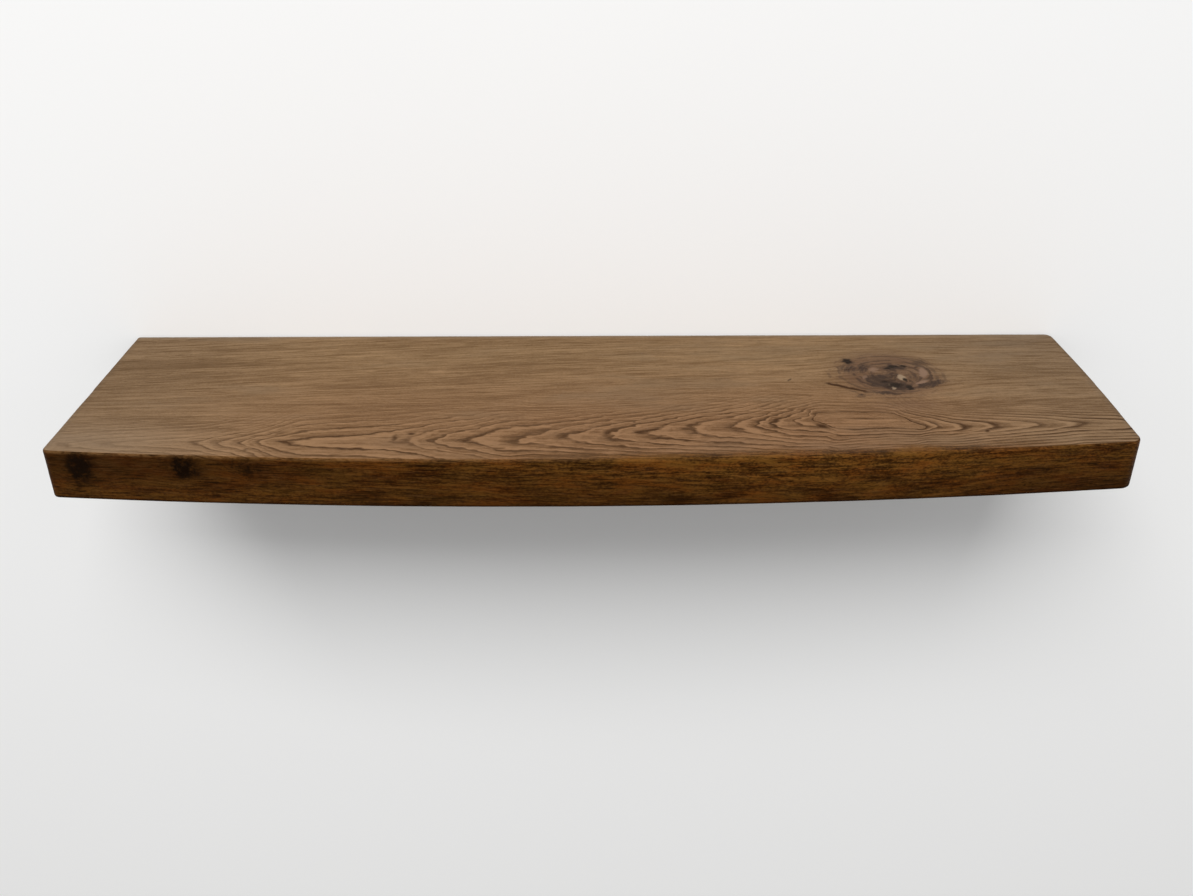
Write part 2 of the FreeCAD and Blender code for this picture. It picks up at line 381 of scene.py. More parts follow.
def new_material(name):
    """An empty material, its tree and the place on its surface in millimetres."""
    material = bpy.data.materials.new(name)
    material.use_nodes = True
    material.node_tree.nodes.clear()
    tree = Tree(material.node_tree)
    place = tree.node("ShaderNodeTexCoord").outputs["Object"]
    return material, tree, tree.vector("MULTIPLY", place, (1 / MM, 1 / MM, 1 / MM))


def surface(tree, height, strength, distance, feeds):
    """The material's one Principled shader, its bump and its output."""
    bump = tree.node("ShaderNodeBump", {"Height": height, "Strength": strength, "Distance": distance})
    shader = tree.node("ShaderNodeBsdfPrincipled", {**feeds, "Normal": bump.outputs[0]})
    tree.node("ShaderNodeOutputMaterial", {"Surface": shader.outputs[0]})


# ------------------------------------------------------------------ the log's figure

BOARD_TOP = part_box("oak_board")[1].z / MM
RING_WIDTH = 3.5
HEART_MIDDLE, HEART_Y = 231.0, -178.5         # where the heart comes nearest to the board's top
HEART_FLAT, HEART_RISE = 31.0, 0.14           # half length of its flat part, and the rise there in rings
FIRST_LOOP = 1.34                             # rings from that place to the first arch's point
POINT_ROUNDING = 2.5                          # how blunt the arches' points are
GRAIN_BEND = 80.0                             # half length of the grain's turn at the board's middle
KNOT = (268.0, -96.0)

# Where the arches' points lie along the board, from the heart outwards.
LEFT_ARCHES = (188, 170, 154, 139, 113, 78, 51, 13, -18, -62, -107, -133, -165, -251, -276, -291,
               -310, -327, -395, -440, -500)
RIGHT_ARCHES = (272, 291, 310, 340, 380, 408, 462, 500)

# Small knots in the front edge: a place, its radii and how strong it is.
EDGE_KNOTS = (((-419.5, 7.5), (13.0, 17.0), 1.15), ((-332.0, 11.0), (15.0, 12.5), 1.15),
              ((-279.0, 11.0), (14.0, 10.5), 0.72))

# Where the front edge's grain swirls: a place and the swirl's size.
EDGE_SWIRLS = (((-423.0, 5.0), 13.0), ((-336.0, 8.0), 12.0), ((-280.0, 8.0), 9.0),
               ((78.0, -12.0), 17.0), ((352.0, -12.0), 15.0))

# Each mark here and below is a place, its radii, its lean in degrees and how strong it is.
FIGURE_MARKS = (
    ((230.0, -176.3), (19.0, 1.9), 0.0, 0.60), ((192.0, -190.5), (8.5, 4.4), -42.0, 0.80),
    ((327.0, -199.5), (2.4, 3.0), 0.0, 0.75), ((278.0, -188.5), (7.0, 3.0), -38.0, 0.55),
    ((-18.0, -178.0), (5.0, 2.2), 15.0, 0.50), ((34.0, -179.0), (2.4, 1.9), 0.0, 0.60),
    ((90.0, -212.0), (10.0, 5.0), 30.0, 0.36), ((-151.0, -202.5), (4.6, 2.8), 0.0, 0.70),
    ((-164.0, -209.0), (3.0, 7.0), 0.0, 0.60), ((-214.0, -193.0), (3.6, 2.6), -45.0, 0.45),
    ((-261.0, -200.0), (8.0, 4.2), 35.0, 0.45), ((-248.0, -217.0), (5.0, 6.0), 30.0, 0.50),
    ((-222.0, -205.5), (13.0, 1.7), 2.0, 0.50), ((-282.0, -231.0), (3.0, 4.0), 0.0, 0.50),
    ((-207.0, -236.0), (9.0, 2.2), 0.0, 0.45), ((-93.0, -186.0), (9.0, 4.0), 15.0, 0.45),
)


def arch_count(tree, x):
    """How many arches lie between the heart's nearest point and a place along the board."""
    points = [(along, count) for count, along in enumerate(LEFT_ARCHES)][::-1]
    points += [(HEART_MIDDLE - HEART_FLAT, HEART_RISE - FIRST_LOOP), (HEART_MIDDLE, -FIRST_LOOP),
               (HEART_MIDDLE + HEART_FLAT, HEART_RISE - FIRST_LOOP)]
    points += [(along, count) for count, along in enumerate(RIGHT_ARCHES)]
    low, high, most = points[0][0], points[-1][0], float(len(LEFT_ARCHES))
    node = tree.node("ShaderNodeFloatCurve", {"Value": tree.between(x, low, high)})
    curve = node.mapping.curves[0]
    placed = [((along - low) / (high - low), (count + FIRST_LOOP) / most)
              for along, count in points]
    curve.points[0].location, curve.points[1].location = placed[0], placed[-1]
    for place in placed[1:-1]:
        curve.points.new(*place)
    node.mapping.update()
    return tree.times(node.outputs[0], most)


def shaken(tree, place):
    """The place as the rings see it, wavering and ragged, and the raggedness along the board."""
    x, y, z = tree.split(place)
    bend = tree.split(tree.noise(place, (240.0, 60.0, 60.0), 1.0)[1])
    waver = tree.split(tree.noise(place, (30.0, 11.0, 11.0), 1.0)[1])
    rag = tree.split(tree.noise(place, (9.0, 4.6, 4.6), 1.0)[1])
    raggedness = tree.times(tree.smooth(x, 200.0, 330.0, 1.0, 0.3), tree.smooth(x, -60.0, -240.0, 1.0, 0.55))
    deep_x = tree.add(x, tree.swing(waver[2], tree.smooth(x, -200.0, 0.0, 7.0, 14.0)),
                      tree.swing(rag[2], tree.smooth(x, 200.0, 330.0, 4.5, 2.0)))
    deep_y = tree.add(y, tree.swing(bend[0], 14.0), tree.swing(waver[0], 3.5, raggedness),
                      tree.swing(rag[0], 1.6, raggedness))
    deep_z = tree.add(z, tree.swing(bend[1], 5.0), tree.swing(waver[1], 2.4, raggedness),
                      tree.swing(rag[1], 1.8, raggedness))
    return deep_x, deep_y, deep_z, rag[0]


def ring_distance(tree, place, deep, in_front):
    """How far a place lies beyond the ring at the heart's top, how far beside it, and the slope there."""
    x, _, z = tree.split(place)
    deep_x, deep_y, deep_z = deep
    off = tree.math("POWER", tree.times(tree.minus(x, HEART_MIDDLE), 1 / 200.0), 2.0)
    drift = tree.smooth(x, HEART_MIDDLE - 30.0, HEART_MIDDLE + 30.0, 44.0, 0.0)
    heart_y = tree.add(HEART_Y, tree.times(tree.ratio(off, tree.add(off, 1.0)), drift, -1.0),
                       tree.smooth(x, 240.0, 310.0, 0.0, -10.0))
    heart_depth = tree.add(tree.smooth(x, -150.0, -40.0, 180.0, 45.0),
                           tree.smooth(x, 120.0, 300.0, 0.0, -27.0))
    up = tree.add(heart_depth, BOARD_TOP, tree.times(deep_z, -1.0))
    out = tree.minus(deep_y, heart_y)
    slanting = tree.times(tree.smooth(x, 160.0, 188.0), tree.smooth(x, 400.0, 320.0), 0.95)
    deep_x = tree.add(deep_x, tree.times(out, slanting, tree.fall(out, 22.0)))
    from_heart = tree.length(up, out)
    slope = tree.ratio(tree.absolute(out), from_heart)
    vee = tree.math("SQRT", tree.add(tree.times(out, out), POINT_ROUNDING ** 2))
    pointed = tree.add(tree.smooth(x, -60.0, -110.0, 0.0, 0.20), tree.smooth(x, -245.0, -285.0, 0.0, 0.20))
    far = tree.add(tree.minus(from_heart, heart_depth), tree.times(arch_count(tree, deep_x), RING_WIDTH),
                   tree.times(tree.minus(vee, POINT_ROUNDING), pointed))

    far = tree.minus(far, tree.times(tree.blot(x, deep_y, KNOT, (37.0, 30.0)), 46.0))
    for middle, (wide, tall), _ in EDGE_KNOTS:
        small = tree.times(tree.blot(x, z, middle, (wide * 1.5, tall * 1.2)), in_front)
        far = tree.minus(far, tree.times(small, wide * 0.9))
    return far, out, slope


def ring_lines(tree, x, far, out, slope, breadth):
    """Each ring's dark line, bare and as strong as the figure shows it, the figure's crest beside
    the heart, and the pale wood before each line."""
    uneven = tree.noise_along(tree.times(far, 1 / 12.0))
    rings = tree.times(tree.add(far, -FIRST_LOOP * RING_WIDTH, tree.swing(uneven, 1.5)), 1 / RING_WIDTH)
    number = tree.math("FLOOR", rings)
    part = tree.minus(rings, number)
    strength = tree.node("ShaderNodeTexWhiteNoise", {"W": number}, noise_dimensions="1D").outputs[0]
    width = tree.add(tree.smooth(breadth, 0.35, 0.68, 0.12, 0.24), tree.smooth(number, 1.0, 0.0, 0.0, 0.08),
                     tree.times(tree.fall(out, 11.0), tree.smooth(breadth, 0.38, 0.62, 0.02, 0.07)))
    width = tree.times(width, tree.add(1.0, tree.times(slope, 0.9)), tree.smooth(x, 40.0, -220.0, 1.0, 0.72))
    line = tree.math("EXPONENT", tree.times(tree.ratio(part, width), -1.0))
    late = tree.smooth(part, 0.86, 1.0)
    seen = tree.smooth(number, -1.0, 0.0, 0.12, 1.0)

    behind, before = tree.most(out, 0.0), tree.math("MINIMUM", out, 0.0)
    fading = tree.smooth(x, 150.0, 230.0, -1 / 44.0 ** 2, -1 / 30.0 ** 2)
    crest = tree.math("EXPONENT", tree.add(tree.times(behind, behind, fading),
                                           tree.times(before, before, -1 / 70.0 ** 2)))
    shell = tree.times(tree.most(tree.smooth(line, 0.05, 0.75), tree.times(late, 0.9)),
                       tree.smooth(tree.most(strength, tree.smooth(number, 2.0, 0.0)), 0.0, 1.0, 0.6, 1.05))
    ring = tree.times(shell, seen, tree.smooth(x, -450.0, -200.0, 0.35, 1.0),
                      tree.smooth(breadth, 0.34, 0.50, 0.6, 1.0), tree.add(0.10, tree.times(crest, 0.80)))
    pale = tree.times(tree.smooth(part, 0.55, 0.84), tree.smooth(part, 0.95, 0.86), crest, seen)
    return shell, ring, crest, pale


def along_grain(tree, place, in_front):
    """The place along the grain, which flows round the knots."""
    x, y, z = tree.split(place)
    turn_over = tree.math("SQRT", tree.add(tree.times(x, x), GRAIN_BEND ** 2))
    flow = tree.times(tree.add(tree.times(x, 0.065), tree.times(turn_over, -0.035)),
                      tree.smooth(y, -190.0, -110.0))
    round_knot = tree.times(tree.blot(x, y, KNOT, (70.0, 48.0)), tree.minus(y, KNOT[1]), 0.62)
    round_small = 0.0
    for middle, size in EDGE_SWIRLS:
        near = tree.blot(x, z, middle, (2.2 * size, 1.5 * size))
        round_small = tree.add(round_small, tree.times(near, tree.minus(z, middle[1]), in_front, 0.7))
    return tree.join(x, tree.minus(y, tree.add(flow, round_knot)), tree.minus(z, round_small))


def oak_figure():
    """The figure of the log that the board was sawn from, so that all its faces agree.

    Rings are shells round the log's heart, which runs above the board and comes nearest to its top
    behind the front edge, right of the middle. There the sawn face shows closed loops, and long
    pointed arches to their left. A knot pushes the rings aside.
    """
    group = new_group("oak figure", "ShaderNodeTree", [("Place", VECTOR)], [
        ("Ring", FLOAT), ("Pore", FLOAT), ("Streak", FLOAT), ("Tone", FLOAT), ("Height", FLOAT),
        ("Shell", FLOAT)])
    tree = Tree(group)
    place = tree.entry("Place")
    x, y, z = tree.split(place)
    in_front = tree.times(tree.smooth(y, -180.0, -215.0), tree.smooth(z, 23.0, 12.0))
    breadth = tree.noise(place, (24.0, 11.0, 11.0))[0]
    *deep, rag = shaken(tree, place)
    far, out, slope = ring_distance(tree, place, deep, in_front)
    shell, ring, crest, pale = ring_lines(tree, x, far, out, slope, breadth)
    marks = tree.blots(tree.add(x, tree.times(rag, 3.0), -1.5), deep[1], FIGURE_MARKS)
    ring = tree.most(ring, tree.times(tree.smooth(marks, 0.08, 0.8), tree.smooth(z, 18.0, 22.0)))

    grain = along_grain(tree, place, in_front)
    pore = tree.noise(grain, (7.0, 0.42, 0.42), 1.0)[0]
    dash = tree.noise(grain, (14.0, 1.7, 1.7), 2.0, 0.6)[0]
    long_dash = tree.noise(grain, (46.0, 2.3, 2.3), 2.0, 0.6)[0]
    coarse = tree.noise(grain, (230.0, 9.0, 9.0), 2.0, 0.55)[0]
    streak = tree.noise(grain, (90.0, 2.9, 2.9), 3.0, 0.7)[0]
    fine = tree.noise(grain, (22.0, 1.0, 1.0), 2.0, 0.6)[0]
    thread = tree.noise(grain, (110.0, 5.0, 5.0), 1.0)[0]
    lines = tree.add(
        tree.times(tree.smooth(tree.absolute(tree.minus(coarse, 0.5)), 0.045, 0.0),
                   tree.smooth(breadth, 0.35, 0.6)),
        tree.times(tree.smooth(tree.absolute(tree.minus(thread, 0.45)), 0.055, 0.0),
                   tree.smooth(breadth, 0.62, 0.42), 0.8))
    lines = tree.times(lines, tree.add(1.0, tree.times(crest, -0.75)))
    pores = tree.most(tree.smooth(tree.add(pore, tree.times(ring, 0.16)), 0.60, 0.72),
                      tree.times(tree.smooth(dash, 0.60, 0.74), 0.9),
                      tree.times(tree.smooth(long_dash, 0.57, 0.68), 0.75), tree.times(lines, 0.55))
    along_rings = tree.swing(tree.noise_along(tree.times(far, 0.9)), crest)
    streaks = tree.add(tree.times(coarse, 0.18), tree.times(streak, 0.50), tree.times(fine, 0.32),
                       tree.times(lines, -0.05), tree.times(along_rings, 0.30), tree.times(pale, 0.17))
    tree.give(Ring=ring, Shell=shell, Pore=pores, Streak=streaks,
              Tone=tree.noise(place, (130.0, 40.0, 40.0), 3.0, 0.55)[0],
              Height=tree.add(tree.times(ring, -0.35), tree.times(pores, -0.8), tree.times(fine, 0.35)))
    return group


# ------------------------------------------------------------------ the knots' marks

KNOT_CHAR = (
    ((275.0, -75.0), (9.0, 3.4), 10.0, 0.95), ((286.0, -73.5), (4.4, 3.4), 0.0, 1.05),
    ((235.7, -62.5), (4.6, 7.6), 8.0, 1.1), ((281.5, -118.0), (3.8, 6.4), 0.0, 1.1),
    ((271.5, -78.0), (7.5, 3.2), 0.0, 0.90), ((262.0, -106.0), (7.0, 4.6), 20.0, 0.78),
    ((269.0, -113.5), (10.0, 7.0), 0.0, 0.96), ((272.5, -99.0), (2.2, 12.0), -12.0, 0.62),
    ((286.0, -105.0), (2.2, 8.0), 20.0, 0.62), ((262.0, -119.0), (3.0, 5.0), -20.0, 0.62),
    ((281.2, -102.0), (2.5, 5.4), 14.0, 1.15), ((177.0, -102.0), (2.0, 5.0), -32.0, 0.75),
)
KNOT_DARK = (
    ((259.0, -104.0), (18.0, 16.0), 25.0, 1.1), ((271.0, -116.0), (17.0, 11.0), 0.0, 1.15),
    ((276.0, -77.0), (17.0, 8.0), 4.0, 0.95), ((301.0, -111.0), (15.0, 5.6), 28.0, 1.15),
    ((233.0, -79.0), (10.0, 11.0), 20.0, 0.78), ((303.0, -66.0), (10.0, 9.0), 0.0, 0.8),
    ((291.0, -97.0), (8.0, 12.0), 10.0, 0.66), ((236.0, -63.0), (7.5, 11.0), 0.0, 0.7),
    ((256.0, -128.0), (20.0, 5.0), -4.0, 0.9), ((273.0, -92.0), (9.0, 12.0), 0.0, 0.8),
    ((248.0, -78.0), (7.0, 13.0), -30.0, 0.78), ((114.0, -100.0), (15.0, 8.0), 0.0, 0.34),
    ((237.0, -133.0), (5.0, 6.0), -30.0, 0.7), ((320.0, -106.0), (20.0, 3.0), 6.0, 0.42),
)
KNOT_PINK = (((300.5, -87.0), (4.6, 12.0), -8.0, 1.0), ((257.0, -81.0), (6.0, 8.0), -35.0, 0.7),
             ((246.0, -97.0), (3.6, 9.0), -30.0, 0.55), ((295.0, -107.0), (9.5, 2.6), 36.0, 0.9))
KNOT_FLECK = (((279.0, -97.5), (4.4, 8.2), 4.0, 1.0), ((267.5, -119.0), (2.8, 3.6), 0.0, 0.95),
              ((265.2, -112.0), (1.6, 2.2), 0.0, 0.8))
EDGE_MARKS = (
    ((-421.0, 5.0), (25.0, 25.0), 0.0, 0.30), ((-333.0, 10.0), (23.0, 17.0), 0.0, 0.28),
    ((-279.0, 10.0), (22.0, 13.0), 0.0, 0.26), ((-440.0, 16.0), (20.0, 6.0), 0.0, 0.35),
    ((-164.0, 2.0), (7.0, 3.5), 0.0, 0.50), ((-139.0, 17.0), (17.0, 2.2), 0.0, 0.55),
    ((-56.0, -4.0), (14.0, 3.2), 0.0, 0.42), ((94.0, 4.5), (7.0, 3.4), 0.0, 0.50),
    ((110.0, -12.0), (11.0, 3.4), -10.0, 0.50), ((68.0, -16.5), (20.0, 3.6), 0.0, 0.55),
    ((22.0, -18.0), (16.0, 2.4), 0.0, 0.45),
)

# Dark arcs round the knot: a place, its radii, its lean, how strong it is and its half width. After
# them come the places of the knot's swirl, of its reddish halo and of a faint cloud in front of it.
KNOT_ARCS = (
    ((272.0, -91.0), (35.0, 30.0), 0.0, 0.75, 2.0), ((270.0, -92.0), (28.0, 24.0), 8.0, 0.7, 1.6),
    ((268.0, -90.0), (44.0, 38.0), 0.0, 0.45, 2.2), ((272.0, -95.0), (21.0, 19.0), 0.0, 0.6, 1.5),
    ((299.5, -88.0), (7.6, 15.0), -8.0, 0.75, 1.5), ((266.0, -93.0), (52.0, 45.0), 0.0, 0.35, 2.0),
)
SWIRL_MIDDLE = (270.0, -93.0)
HALO, CLOUD = ((268.0, -90.0), (44.0, 46.0)), ((272.0, -152.0), (27.0, 13.0))
CRACK_FROM, CRACK_TO, CRACK_HALF_WIDTH = (207.0, -107.5), (244.0, -127.0), 2.1


def arcs_round(tree, x, y, arcs):
    """Thin closed lines round places, broken up by some noise."""
    breaks = tree.noise(tree.join(x, y, 0.0), (15.0, 11.0, 11.0), 1.0)[0]
    best = 0.0
    for number, (place, radii, lean, strength, half) in enumerate(arcs):
        far = tree.math("SQRT", tree.reach(x, y, place, radii, lean))
        aside = tree.times(tree.absolute(tree.minus(far, 1.0)), min(radii))
        whole = tree.smooth(breaks, 0.44, 0.54) if number % 2 else tree.smooth(breaks, 0.62, 0.50)
        best = tree.most(best, tree.times(tree.smooth(aside, half, 0.2 * half), whole, strength))
    return best


def crack_line(tree, x, y):
    """One on the short drying crack beside the knot."""
    run = Vector(CRACK_TO) - Vector(CRACK_FROM)
    along_x, along_y = run.normalized()
    dx, dy = tree.minus(x, CRACK_FROM[0]), tree.minus(y, CRACK_FROM[1])
    along = tree.add(tree.times(dx, along_x), tree.times(dy, along_y))
    aside = tree.absolute(tree.add(tree.times(dx, -along_y), tree.times(dy, along_x)))
    inside = tree.times(tree.smooth(along, 0.0, 5.0), tree.smooth(along, run.length, run.length - 5.0))
    return tree.times(tree.smooth(aside, 1.5 * CRACK_HALF_WIDTH, 0.3 * CRACK_HALF_WIDTH), inside)


def edge_char(tree, place, wide, near):
    """The small knots, the dark marks and the long check on the front edge."""
    (x, _, z), (near_x, near_y, near_z) = wide, near
    edge = tree.blots(near_x, near_z, EDGE_MARKS)
    patchy = tree.noise(place, (6.0, 5.0, 5.0), 3.0, 0.65)[0]
    for middle, radii, strength in EDGE_KNOTS:
        mean_x, mean_z = tree.times(tree.add(x, near_x), 0.5), tree.times(tree.add(z, near_z), 0.5)
        spot = tree.times(tree.blot(mean_x, mean_z, middle, radii), strength)
        edge = tree.most(edge, tree.times(spot, tree.smooth(patchy, 0.3, 0.62, 0.45, 1.1)))
    check = tree.add(tree.smooth(x, 130.0, 330.0, 5.2, 1.6), tree.smooth(x, 330.0, 450.0, 0.0, 1.4))
    check = tree.smooth(tree.absolute(tree.minus(near_z, check)), 0.9, 0.2, 0.0, 0.42)
    edge = tree.most(edge, tree.times(check, tree.smooth(x, 125.0, 160.0)))
    return tree.smooth(tree.times(edge, tree.smooth(near_y, -200.0, -222.0)), 0.06, 0.95)


def knot_marks():
    """What lies inside the through knot and the small knots on the front edge."""
    group = new_group("knot marks", "ShaderNodeTree", [("Place", VECTOR)], [
        ("Char", FLOAT), ("Dark", FLOAT), ("Halo", FLOAT), ("Pink", FLOAT), ("Fleck", FLOAT),
        ("Crack", FLOAT), ("Edge Char", FLOAT)])
    tree = Tree(group)
    place = tree.entry("Place")
    shake = tree.vector("SUBTRACT", tree.noise(place, (8.0, 6.5, 6.5), 4.0, 0.66)[1], (0.5, 0.5, 0.5))
    far = tree.split(tree.vector("ADD", place, tree.vector("MULTIPLY", shake, (17.0, 14.0, 14.0))))
    near = tree.split(tree.vector("ADD", place, tree.vector("MULTIPLY", shake, (6.0, 5.0, 5.0))))
    (x, y), (near_x, near_y) = far[:2], near[:2]

    away_x, away_y = tree.minus(near_x, SWIRL_MIDDLE[0]), tree.minus(near_y, SWIRL_MIDDLE[1])
    away = tree.math("SQRT", tree.add(tree.times(away_x, away_x), tree.times(away_y, away_y), 0.5))
    round_it = tree.join(tree.times(tree.ratio(away_x, away), 1.7), tree.times(tree.ratio(away_y, away), 1.7),
                         tree.times(away, 1 / 2.6))
    swirl = tree.noise(round_it, None, 3.0, 0.6)[0]
    arcs = tree.smooth(swirl, 0.38, 0.62)

    wide = tree.smooth(tree.blot(x, y, *HALO), 0.10, 0.62)
    halo = tree.times(wide, tree.add(0.72, tree.times(arcs, 0.28)))
    cloud = tree.times(tree.blot(x, y, *CLOUD), 0.55)
    dark = tree.times(tree.blots(x, y, KNOT_DARK), tree.add(0.78, tree.times(arcs, 0.42)))
    lines = tree.most(arcs_round(tree, near_x, near_y, KNOT_ARCS),
                      tree.times(wide, tree.smooth(swirl, 0.42, 0.30), 0.36))
    dark = tree.most(tree.smooth(dark, 0.16, 0.88), lines)
    dark = tree.times(dark, tree.add(0.78, tree.times(swirl, 0.44)))
    char = tree.times(tree.blots(near_x, near_y, KNOT_CHAR), tree.add(0.85, tree.times(arcs, 0.3)))
    tree.give(Char=tree.smooth(char, 0.34, 0.9), Dark=dark, Halo=tree.most(halo, cloud),
              Pink=tree.smooth(tree.blots(near_x, near_y, KNOT_PINK), 0.25, 0.75),
              Fleck=tree.smooth(tree.blots(near_x, near_y, KNOT_FLECK), 0.35, 0.75),
              Crack=crack_line(tree, near_x, near_y), Edge_Char=edge_char(tree, place, far, near))
    return group


# ------------------------------------------------------------------ oak

def unrubbed(tree, shape, place, waver):
    """One along the front arris, right of the middle, where the top has kept its stain."""
    x, y = tree.split(place)[:2]
    across = tree.times(x, 1 / (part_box("oak_board")[1].x / MM))
    left, right, bow = shape.left_depth / MM, shape.right_depth / MM, shape.front_bow / MM
    depth = tree.add((left + right) / 2 + bow, tree.times(across, (right - left) / 2),
                     tree.times(across, across, -bow))
    inward = tree.add(y, depth, tree.swing(waver, 16.0))
    stretch = tree.times(tree.smooth(x, -180.0, 90.0), tree.smooth(x, 400.0, 300.0))
    return tree.times(tree.smooth(inward, 14.5, 3.0), stretch, 0.92)


def top_sheen_and_drift(tree, finish, x, y, tone):
    """How the top's colour drifts: a painted sheen makes it cool and pale at the wall, it is warm in front,
    and greyer at the ends.
    """
    shaken_off = tree.absolute(tree.add(x, tree.swing(tone, 120.0)))
    warm = tree.times(tree.smooth(tree.add(y, tree.swing(tone, 60.0)), -30.0, -205.0),
                      tree.smooth(shaken_off, 470.0, 200.0, 0.25, 1.0),
                      tree.smooth(x, -220.0, 40.0, 0.80, 1.0))
    off = tree.absolute(x)
    ends = tree.add(tree.smooth(off, 230.0, 450.0, 0.0, 0.42), tree.smooth(off, 441.0, 450.0, 0.0, 0.42),
                    tree.times(tree.smooth(x, 150.0, 320.0, 0.0, 0.22), tree.smooth(y, -130.0, -20.0)))
    return tree.blend(ends, tree.blend(warm, finish.rear_sheen_tint, finish.front_tint), finish.end_tint)


def top_colour(tree, finish, oak, place, shade, dark):
    """The top, painted paler than the edges, partly for rubbing and partly as painted light from above, with
    a painted sheen that is pale and grey at the wall, and with its dark lines and pores.
    """
    x, y = tree.split(place)[:2]
    wood = tree.blend(shade, finish.top_brown, finish.top_light)
    wood = tree.blend(tree.smooth(oak["Tone"], 0.52, 0.72, 0.0, 0.45), wood, finish.top_grey)
    wood = tree.blend(1.0, wood, top_sheen_and_drift(tree, finish, x, y, oak["Tone"]), "MULTIPLY")
    # Painted sheen: a paler, greyer band along the rear arris. The same pale colour is also laid at the front
    # left corner.
    rear = tree.smooth(tree.add(y, tree.times(oak["Streak"], 6.0)), -7.0, 2.0, 0.0, 0.75)
    corner = tree.blot(x, y, (-430.0, -215.0), (90.0, 30.0))
    wood = tree.blend(tree.most(rear, tree.times(corner, 0.45)), wood, finish.top_pale_sheen)
    return tree.blend(dark, wood, finish.top_dark)


def edge_colour(tree, finish, oak, place, speckle, at_end):
    """The stained edges with dark dashes. A painted highlight makes them golden below the top arris and
    towards the right, a painted reflection makes them paler along the bottom on the left, and they are darker
    below on the right.
    """
    x, _, z = tree.split(place)
    # Painted light on the front: a painted highlight in the band below the top arris, mostly on the right,
    # and a painted reflection along the bottom on the left. The steps along the board are tone.
    front_light_and_tone = tree.add(tree.smooth(z, -18.0, 10.0, 0.66, 0.22),
                      tree.times(tree.smooth(x, -400.0, 60.0), tree.smooth(z, -20.0, 18.0, -0.26, 0.80)),
                      tree.times(tree.smooth(x, 60.0, 140.0), tree.smooth(x, 360.0, 270.0),
                                 tree.smooth(z, -16.0, 14.0, 0.16, 0.38)),
                      tree.smooth(x, 290.0, 370.0, 0.0, -0.16), tree.smooth(x, -240.0, -400.0, 0.0, -0.14))
    mottle = tree.noise(place, (4.5, 3.0, 2.2), 3.0, 0.65)[0]
    blotch = tree.noise(place, (42.0, 14.0, 12.0), 2.0, 0.55)[0]
    figure_run = tree.noise(place, (44.0, 3.4, 1.9), 3.0, 0.66)[0]
    hue = tree.noise(place, (34.0, 14.0, 9.0), 4.0, 0.6)[0]
    dashes = tree.noise(place, (19.0, 2.0, 0.95), 2.0, 0.6)[0]

    shade = tree.add(tree.times(oak["Streak"], 0.5), tree.times(figure_run, 0.62), tree.swing(mottle, 0.55),
                     -0.06, tree.swing(speckle, 0.45), tree.swing(blotch, 0.8))
    shade = tree.times(tree.smooth(shade, 0.28, 0.72), front_light_and_tone)
    wood = tree.blend(shade, finish.edge_brown, finish.edge_light)
    wood = tree.blend(tree.smooth(hue, 0.49, 0.62), wood, finish.edge_red, "MULTIPLY")
    wood = tree.blend(tree.smooth(hue, 0.50, 0.38), wood, finish.edge_olive, "MULTIPLY")
    # A pale strip along the top arris: partly wear, partly a painted highlight where the arris catches the
    # light.
    rubbed = tree.times(tree.smooth(z, 18.6, 22.2), tree.smooth(mottle, 0.36, 0.58, 0.3, 0.85),
                        tree.smooth(x, -160.0, 60.0, 1.0, 0.25))
    wood = tree.blend(rubbed, wood, finish.edge_rub_and_sheen)
    # Pale streaks of painted sheen.
    wood = tree.blend(tree.smooth(dashes, 0.50, 0.30, 0.0, 0.17), wood, finish.edge_rub_and_sheen)
    dark_dashes = tree.smooth(tree.add(dashes, tree.times(blotch, -0.25)), 0.42, 0.56)
    # The last term is painted shade: a dark line along the lower front arris, which faces away from the
    # light.
    dark = tree.most(tree.times(oak["Pore"], 0.66), tree.times(dark_dashes, 0.74),
                     tree.times(oak["Ring"], 0.6), tree.times(oak["Shell"], at_end, 0.62),
                     tree.smooth(z, -18.5, -21.8, 0.0, 0.75), clamp=True)
    return tree.blend(dark, wood, finish.edge_dark)


